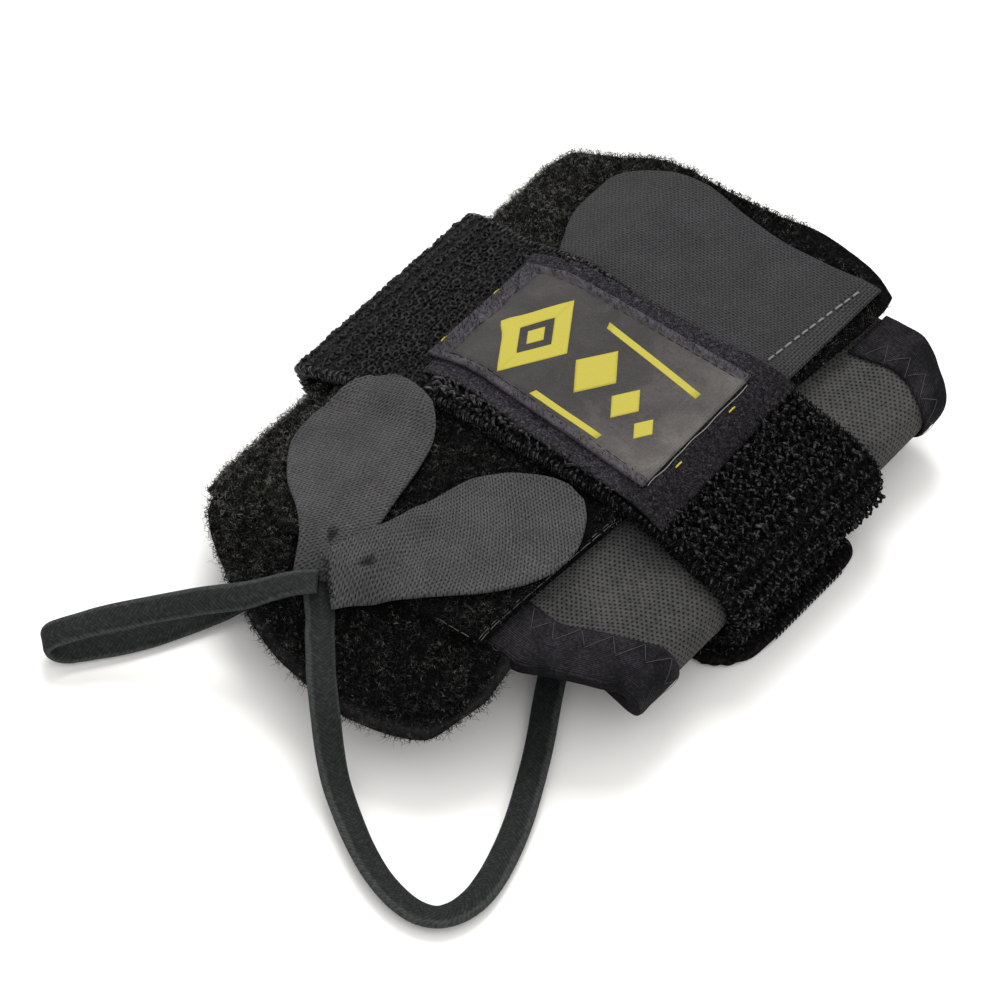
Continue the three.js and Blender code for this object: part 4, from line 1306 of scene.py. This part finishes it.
eyeletsEnd = knit["eyeletsTo"] + 4
stitchField(
    "knitEyelets", eyelets, "knitEyelet", span=(foldFrom + 3, eyeletsEnd),
    pitch=(knit["rib"], knit["stitch"]), jitter=0.34, spin=0.6, sizes=(0.78, 1.2),
    keep=lambda length, y: ~underPatch(length, y), seed=41,
)
stitchField(
    "knitTerry", terryLoops, "knitTuft", span=(eyeletsEnd, girth + 5), pitch=(knit["rib"], 1.15),
    jitter=0.24, spin=0.3, sizes=(0.85, 1.3), keep=lambda length, y: ~underPatch(length, y, 0.9), seed=43,
)
stitchField(
    "knitTailTerry", terryLoops, "knitTuft", span=(-11, 3), pitch=(1.6, 1.3),
    jitter=0.3, spin=0.9, sizes=(0.5, 0.85), keep=lambda length, y: length > -10.6, seed=47, side=0,
)


# One turn of overlocked yarn: share of its pitch, distance in from the edge,
# share from the under face to the outer one, and distance out from there.
overlockTurn = [
    (0, 1.7, 1, 0.05), (0.15, 0.9, 1, 0.25), (0.3, 0.15, 1, 0.05), (0.45, -0.2, 0.5, 0), (0.6, 0.25, 0, 0),
    (0.75, 1, 0, -0.1), (0.85, 0.25, 0, 0), (0.9, -0.15, 0.5, 0), (0.95, 0.4, 1, 0.1), (0.98, 1.2, 1, 0.22),
]


# overlocked yarn that wraps the band's two long edges
def overlock(name, edgeAt, inward, fromLength, toLength, seed):
    rng = np.random.default_rng(seed)
    pitch = 1.25
    line = []
    for start in np.arange(fromLength, toLength, pitch):
        wob = rng.uniform(-0.25, 0.25, 2)
        for step, inset, share, out in overlockTurn:
            length = start + (step + wob[1] * 0.3) * pitch
            under, outer = bandFaces(np.array(length))
            y = edgeAt(length) + inward * (inset * (1 + wob[0]))
            line.append(place(length, y, mix(under, outer, share) + out))
    sewThreads(name, "knit_band", "knitTuft", [np.array(line)], radius=0.17, sides=4)


overlock("bandOverlockNear", bandNear, 1, foldFrom + 2, girth + 20, 51)
overlock("bandOverlockFar", bandFar, -1, foldFrom + 2, girth + 20, 53)


# wrap stitches along the end of the tail on the table
def tailWraps():
    rng = np.random.default_rng(57)
    lines, endX = [], 60.1
    for y in np.arange(-14, 9.5, 1.15):
        lift = rng.uniform(0.0, 0.2)
        over = [(-2.0, 0.0, 2.5 + lift), (-0.9, 0.1, 2.85 + lift)]
        down = [(0.0, 0.25, 2.3), (0.35, 0.4, 1.3), (0.05, 0.5, 0.35)]
        lines.append([(endX + dx, y + dy, z) for dx, dy, z in over + down])
    sewThreads("tailWraps", "knit_band", "knitTuft", lines, radius=0.2)


tailWraps()
print("band stitches made")


# Closure tab: the length of its seam for a y.
def seamAcross(y):
    return topAt(mix(25.0, 27.9, (np.asarray(y) - 28.2) / 29.8))


def closureRelief(length, y):
    groove = 0.3 * np.exp(-(((length - seamAcross(y)) / 0.5) ** 2))
    return 0.06 * unevenness(length, y, 61, 20) - groove


clothPanel(
    "hookClosureTab", "hook_fabric", "hook_closure_tab", "hookClosureShaded",
    overShare(closureNear, closure["left"], closure["right"]),
    overShare(closureFar, closure["left"], closure["right"]),
    always(float(topAt(closure["left"]))), always(float(topAt(closure["right"]))),
    layers["hookTab"],
    (0.8, 1.0),
    edge=0.6,
    relief=closureRelief,
)


# a line of running stitches along a path of lengths and places along Y
def runningStitch(name, slot, look, lengths, ys, offset, gap, long, radius, seed=1):
    rng = np.random.default_rng(seed)
    lengths, ys = np.asarray(lengths, float), np.asarray(ys, float)
    gone = np.concatenate([[0], np.cumsum(np.hypot(np.diff(lengths), np.diff(ys)))])
    lines, start = [], 0.4
    while start < gone[-1] - long * 1.2:
        reach = long * rng.uniform(0.85, 1.15)
        t = np.linspace(start, start + reach, 5)
        length, y = np.interp(t, gone, lengths), np.interp(t, gone, ys) + rng.uniform(-0.12, 0.12)
        lift = offset + radius * 0.4 + 0.14 * np.sin(np.linspace(0, math.pi, 5)) - 0.1
        lines.append(place(length, y, lift))
        start += reach + gap * rng.uniform(0.8, 1.25)
    sewThreads(name, slot, look, lines, radius)


seamYs = np.linspace(28.8, 61.3, 40)
seamAt = seamAcross(seamYs)
runningStitch(
    "closureSeam", "hook_fabric", "seamThread", seamAt, seamYs, offset=7.05, gap=0.8, long=1.9, radius=0.26)
print("closure tab made")


# Patch under the label: a groove runs along the fold of its near hem.
def patchRelief(length, y):
    fromNear = y - patchEdges["near"](xAt(length))
    return 0.14 * unevenness(length, y, 71, 8) - 0.45 * np.exp(-(((fromNear - 2.9) / 0.6) ** 2))


# a flat hem runs along the patch's near side; the rest is napped
def patchPile(length, y, toSide, toEnd):
    x = xAt(length)
    fromNear = y - patchEdges["near"](x)
    underLabel = (x > labelEdges["left"](y) + 1) & (x < labelEdges["right"](y) - 1)
    underLabel = underLabel & (y > labelEdges["near"](x) + 1) & (y < labelEdges["far"](x) - 1)
    return np.where(fromNear > 3.0, 1.0, 0.1) * ~underLabel


patchNear, patchFar = endOf(patchCorners, "near"), endOf(patchCorners, "far")
patchCloth = clothPanel(
    "labelPatch", "patch_fabric", "label_patch", "patch",
    lambda s: patchNear(s) + 0.3 * np.sin(9 * s),
    lambda s: patchFar(s) + 0.4 * np.sin(7 * s + 1),
    lambda y: topAt(patchEdges["left"](y)),
    lambda y: topAt(patchEdges["right"](y)),
    layers["patch"],
    (1.2, 0.8),
    edge=0.9,
    relief=patchRelief,
    zones={"pile": patchPile},
)
napFibres = [
    makeFibre("napFibre", [(0, 0, -0.1), (0.2, 0.1, 0.4), (0.7, 0.2, 0.6)], 0.075),
    makeFibre("napFibreTurned", [(0, 0, -0.1), (-0.1, 0.3, 0.45), (0.1, 0.8, 0.75)], 0.07),
]
growPile("patchNap", "patch_fabric", patchCloth, napFibres, "patch", "patchNap", 12)


# distances from the label's four edges, inwards
def labelGaps(length, y):
    x = xAt(length)
    sides = x - labelEdges["left"](y), labelEdges["right"](y) - x
    return (*sides, y - labelEdges["near"](x), labelEdges["far"](x) - y)


# where the purplish hem shows, along the left, far and near edges
def labelHem(length, y, toSide, toEnd):
    left, _, near, far = labelGaps(length, y)
    waver = 0.35 * unevenness(length, y, 83, 9)
    hems = [smooth((wide + waver - gap) / 0.3) for gap, wide in ((left, 5.0), (far, 2.3), (near, 2.1))]
    return np.clip(np.maximum.reduce([hems[0], hems[1], 0.75 * hems[2]]), 0, 1)


def labelRelief(length, y):
    left, _, near, far = labelGaps(length, y)
    groove = np.zeros(np.shape(left))
    for gap, at in ((left, 5.0), (far, 2.5), (near, 2.2)):
        groove = groove + np.exp(-(((gap - at) / 0.35) ** 2))
    hem = smooth((2.2 - far) / 0.5) * 0.22 + smooth((4.6 - left) / 0.5) * 0.12
    hem = hem + smooth((1.9 - near) / 0.5) * 0.1
    nearHem = np.exp(-((np.minimum(np.minimum(left, far), near) / 4) ** 2))
    pucker = 0.12 * unevenness(length * 2.2, y * 2.2, 85, 6) * nearHem
    return hem - 0.26 * np.clip(groove, 0, 1) + pucker + 0.14 * unevenness(length, y, 81, 16)


labelCloth = clothPanel(
    "wovenLabel", "label_satin", "woven_label", "satin",
    endOf(labelCorners, "near"),
    endOf(labelCorners, "far"),
    lambda y: topAt(labelEdges["left"](y)),
    lambda y: topAt(labelEdges["right"](y)),
    layers["label"],
    (0.62, 0.62),
    edge=0.45,
    relief=labelRelief,
    zones={"hem": labelHem, "pile": lambda *at: labelHem(*at) ** 2},
)
growPile("labelHemFuzz", "label_satin", labelCloth, napFibres, "hemNap", "hemFuzz", 14)

# Woven ornament in yellow: lozenges and slanted bars, as polygons in
# millimetres on the label.
ornament = [
    [(-24.5, 1), (-16, 14.5), (-7.5, 1), (-16, -12.5)],
    [(-4.8, 0.6), (0.6, 8.4), (6.0, 0.6), (0.6, -7.2)],
    [(7.6, -3), (11.2, 2.2), (14.8, -3), (11.2, -8.2)],
    [(16.2, -6.4), (18.6, -2.9), (21, -6.4), (18.6, -9.9)],
    [(-6, -11.6), (12.8, -13.2), (12.6, -14.8), (-6.6, -13.2)],
    [(-6, 14), (22, 9.2), (22, 7.4), (-5.4, 12.2)],
]
ornamentHole = [(-20.2, 1), (-16, 7.7), (-11.8, 1), (-16, -5.7)]
ornamentHeart = [(-18.1, 1), (-16, 4.3), (-13.9, 1), (-16, -2.3)]


def subdividedPolygon(polygon, count=12):
    corners = np.array(polygon, float)
    shares = np.linspace(0, 1, count)
    s, t = [part[..., None] for part in np.meshgrid(shares, shares, indexing="ij")]
    a, b, c, d = corners[:, None, None]
    return a * (1 - s) * (1 - t) + b * s * (1 - t) + c * s * t + d * (1 - s) * t


def ornamentPiece(name, shapes, material):
    points, faces, count = [], [], 0
    for grid in shapes:
        length, y = topAt(grid[..., 0]), grid[..., 1]
        rise = layers["label"][1] + labelRelief(length, y) + 0.06
        for offset in (rise, rise - 0.25):
            points.append(place(length, y, offset).reshape(-1, 3))
        quads = gridQuads(*grid.shape[:2]) + count
        n = grid.shape[0] * grid.shape[1]
        rim = np.arange(n).reshape(grid.shape[:2])
        loop = np.concatenate([rim[0, :-1], rim[:-1, -1], rim[-1, :0:-1], rim[:0:-1, 0]]) + count
        after = np.roll(loop, -1)
        faces += [quads, quads[:, ::-1] + n, np.stack([loop, after, after + n, loop + n], -1)]
        count += 2 * n
    piece = makePiece(name, np.concatenate(points), faces, material)
    mergeAndFaceOut(piece)
    return finishPiece(piece, "label_satin")


bigLozenge = []
outerRing, innerRing = np.array(ornament[0], float), np.array(ornamentHole, float)
for k in range(4):
    n = (k + 1) % 4
    bigLozenge.append(subdividedPolygon([outerRing[k], outerRing[n], innerRing[n], innerRing[k]], 9))
ornamentPiece(
    "labelOrnament",
    bigLozenge + [subdividedPolygon(p) for p in [ornamentHeart, *ornament[1:]]],
    looks["yellowInlay"],
)

# sewing of the label: dark stitches along its hems, a few yellow ones at its
# two ends and a pale thread along the frayed right end
yellowStitches = {
    "labelSeamLeft": {"offset": 11.25, "spots": [(-32.6, 9.5), (-32.7, -8.5)]},
    "labelSeamRight": {"offset": 10.55, "spots": [(28.2, 10.5), (28.6, -9)]},
}
for name, sewn in yellowStitches.items():
    lines = []
    for x, y in sewn["spots"]:
        t = np.linspace(-1.0, 1.0, 6)
        lift = sewn["offset"] + 0.2 * np.cos(t * math.pi / 2)
        lines.append(place(topAt(np.full(6, x)), y + t, lift))
    sewThreads(name, "label_satin", "yellowThread", lines, radius=0.2, sides=6)
seamXs = np.linspace(-28.5, 27.5, 60)
for name, edge, inset in (("labelSeamNear", "near", 2.2), ("labelSeamFar", "far", -2.5)):
    ys = labelEdges[edge](seamXs) + inset
    runningStitch(
        name, "label_satin", "darkThread", topAt(seamXs), ys,
        offset=11.05, gap=0.5, long=1.9, radius=0.12, seed=5)
seamYs = np.linspace(-12, 18.5, 40)
seamAt = topAt(labelEdges["left"](seamYs) + 5.0 + 0.4 * np.sin(seamYs * 0.5))
runningStitch(
    "labelSeamBorder", "label_satin", "darkThread", seamAt, seamYs,
    offset=11.05, gap=0.35, long=2.2, radius=0.15, seed=7)
endYs = np.linspace(-18, 18, 60)
endXs = labelEdges["right"](endYs) + 0.35 + 0.3 * unevenness(endYs, endYs * 0, 87, 9)
endLine = place(topAt(endXs), endYs, 10.6)
sewThreads("labelEndThread", "label_satin", "paleThread", [endLine], radius=0.1, sides=4)
print("patch and label made")

# dull double thread along the flap's right edge, single at its near corner
edgeY = np.linspace(-69.0, -26, 80)
for name, inset, seed in (("flapEdgeThread", 0.35, 3), ("flapEdgeThreadInner", 0.95, 4)):
    edgeAt = topAt(flapRight(edgeY) - inset)
    runningStitch(
        name, "loop_fabric", "dullThread", edgeAt, edgeY,
        offset=5.35, gap=0.5, long=2.9, radius=0.08, seed=seed)
cornerAt, cornerY = topAt(np.linspace(10, 25, 30)), np.full(30, -69.2)
runningStitch(
    "flapCornerThread", "loop_fabric", "dullThread", cornerAt, cornerY,
    offset=5.2, gap=0.5, long=2.4, radius=0.08)


# bar tack where the right tab is sewn to its cord
def barTack(name, start, stop, offset, count):
    lines = []
    for t in np.linspace(0, 1, count):
        x, y = mix(start[0], stop[0], t), mix(start[1], stop[1], t)
        swing = 0.8 if round(t * (count - 1)) % 2 else -0.8
        lines.append((x + swing * 0.7, y + swing * 0.5))
    xs, ys = np.array(lines).T
    dense, base = np.linspace(0, 1, count * 4), np.linspace(0, 1, count)
    x, y = np.interp(dense, base, xs), np.interp(dense, base, ys)
    line = place(topAt(x), y, offset(x, y))
    sewThreads(name, "hook_fabric", "darkThread", [line], radius=0.17)


barTack("tabTack", (-13.6, -72.6), (-8.2, -77.4), lambda x, y: rightTabOffset(x, y) + 1.5, 12)

for name, tab in (("fingerCordFront", tabs[0]), ("fingerCordSide", tabs[1])):
    piece, line, length = cords[name]
    tuple(line[-1])
    [tuple(p) for p in line[::-1]]

# Table, light and air.
studio = {"floor": "#f6f5f2", "world": 1.0, "key": 14.0, "fill": 3.0}
floorMesh = bpy.data.meshes.new("table")
floorMesh.from_pydata([(-3, -3, 0), (3, -3, 0), (3, 3, 0), (-3, 3, 0)], [], [(0, 1, 2, 3)])
table = addObject("table", floorMesh)
tableLook, _, tableShader = startMaterial("paleTable", 0.6, 0.5)
tableShader.inputs["Base Color"].default_value = linear(studio["floor"])
floorMesh.materials.append(tableLook)

world = bpy.data.worlds.new("studioAir")
world.use_nodes = True
air = world.node_tree.nodes["Background"].inputs
air["Color"].default_value = (1, 1, 1, 1)
air["Strength"].default_value = studio["world"]
bpy.context.scene.world = world
bpy.context.scene.view_settings.view_transform = "Standard"


def softLight(name, place, size, watts):
    data = bpy.data.lights.new(name, "AREA")
    data.size, data.energy = size, watts
    lamp = addObject(name, data)
    lamp.location = place
    lamp.rotation_mode = "QUATERNION"
    lamp.rotation_quaternion = (Vector(place) - Vector((0, 0, 0.02))).to_track_quat("Z", "Y")


softLight("keyLight", (-0.55, 0.75, 1.1), 0.7, studio["key"])
softLight("fillLight", (0.9, -0.4, 1.0), 1.0, studio["fill"])
print("studio made")
triangles = sum(
    len(p.vertices) - 2
    for thing in bpy.context.scene.objects
    if thing.type == "MESH" and not thing.hide_render and thing is not table
    for p in thing.data.polygons
)
print("triangles in all:", triangles)

for fibre in (*loopFibres, *strayFibres, *napFibres, *eyelets, *terryLoops):
    bpy.data.objects.remove(fibre)
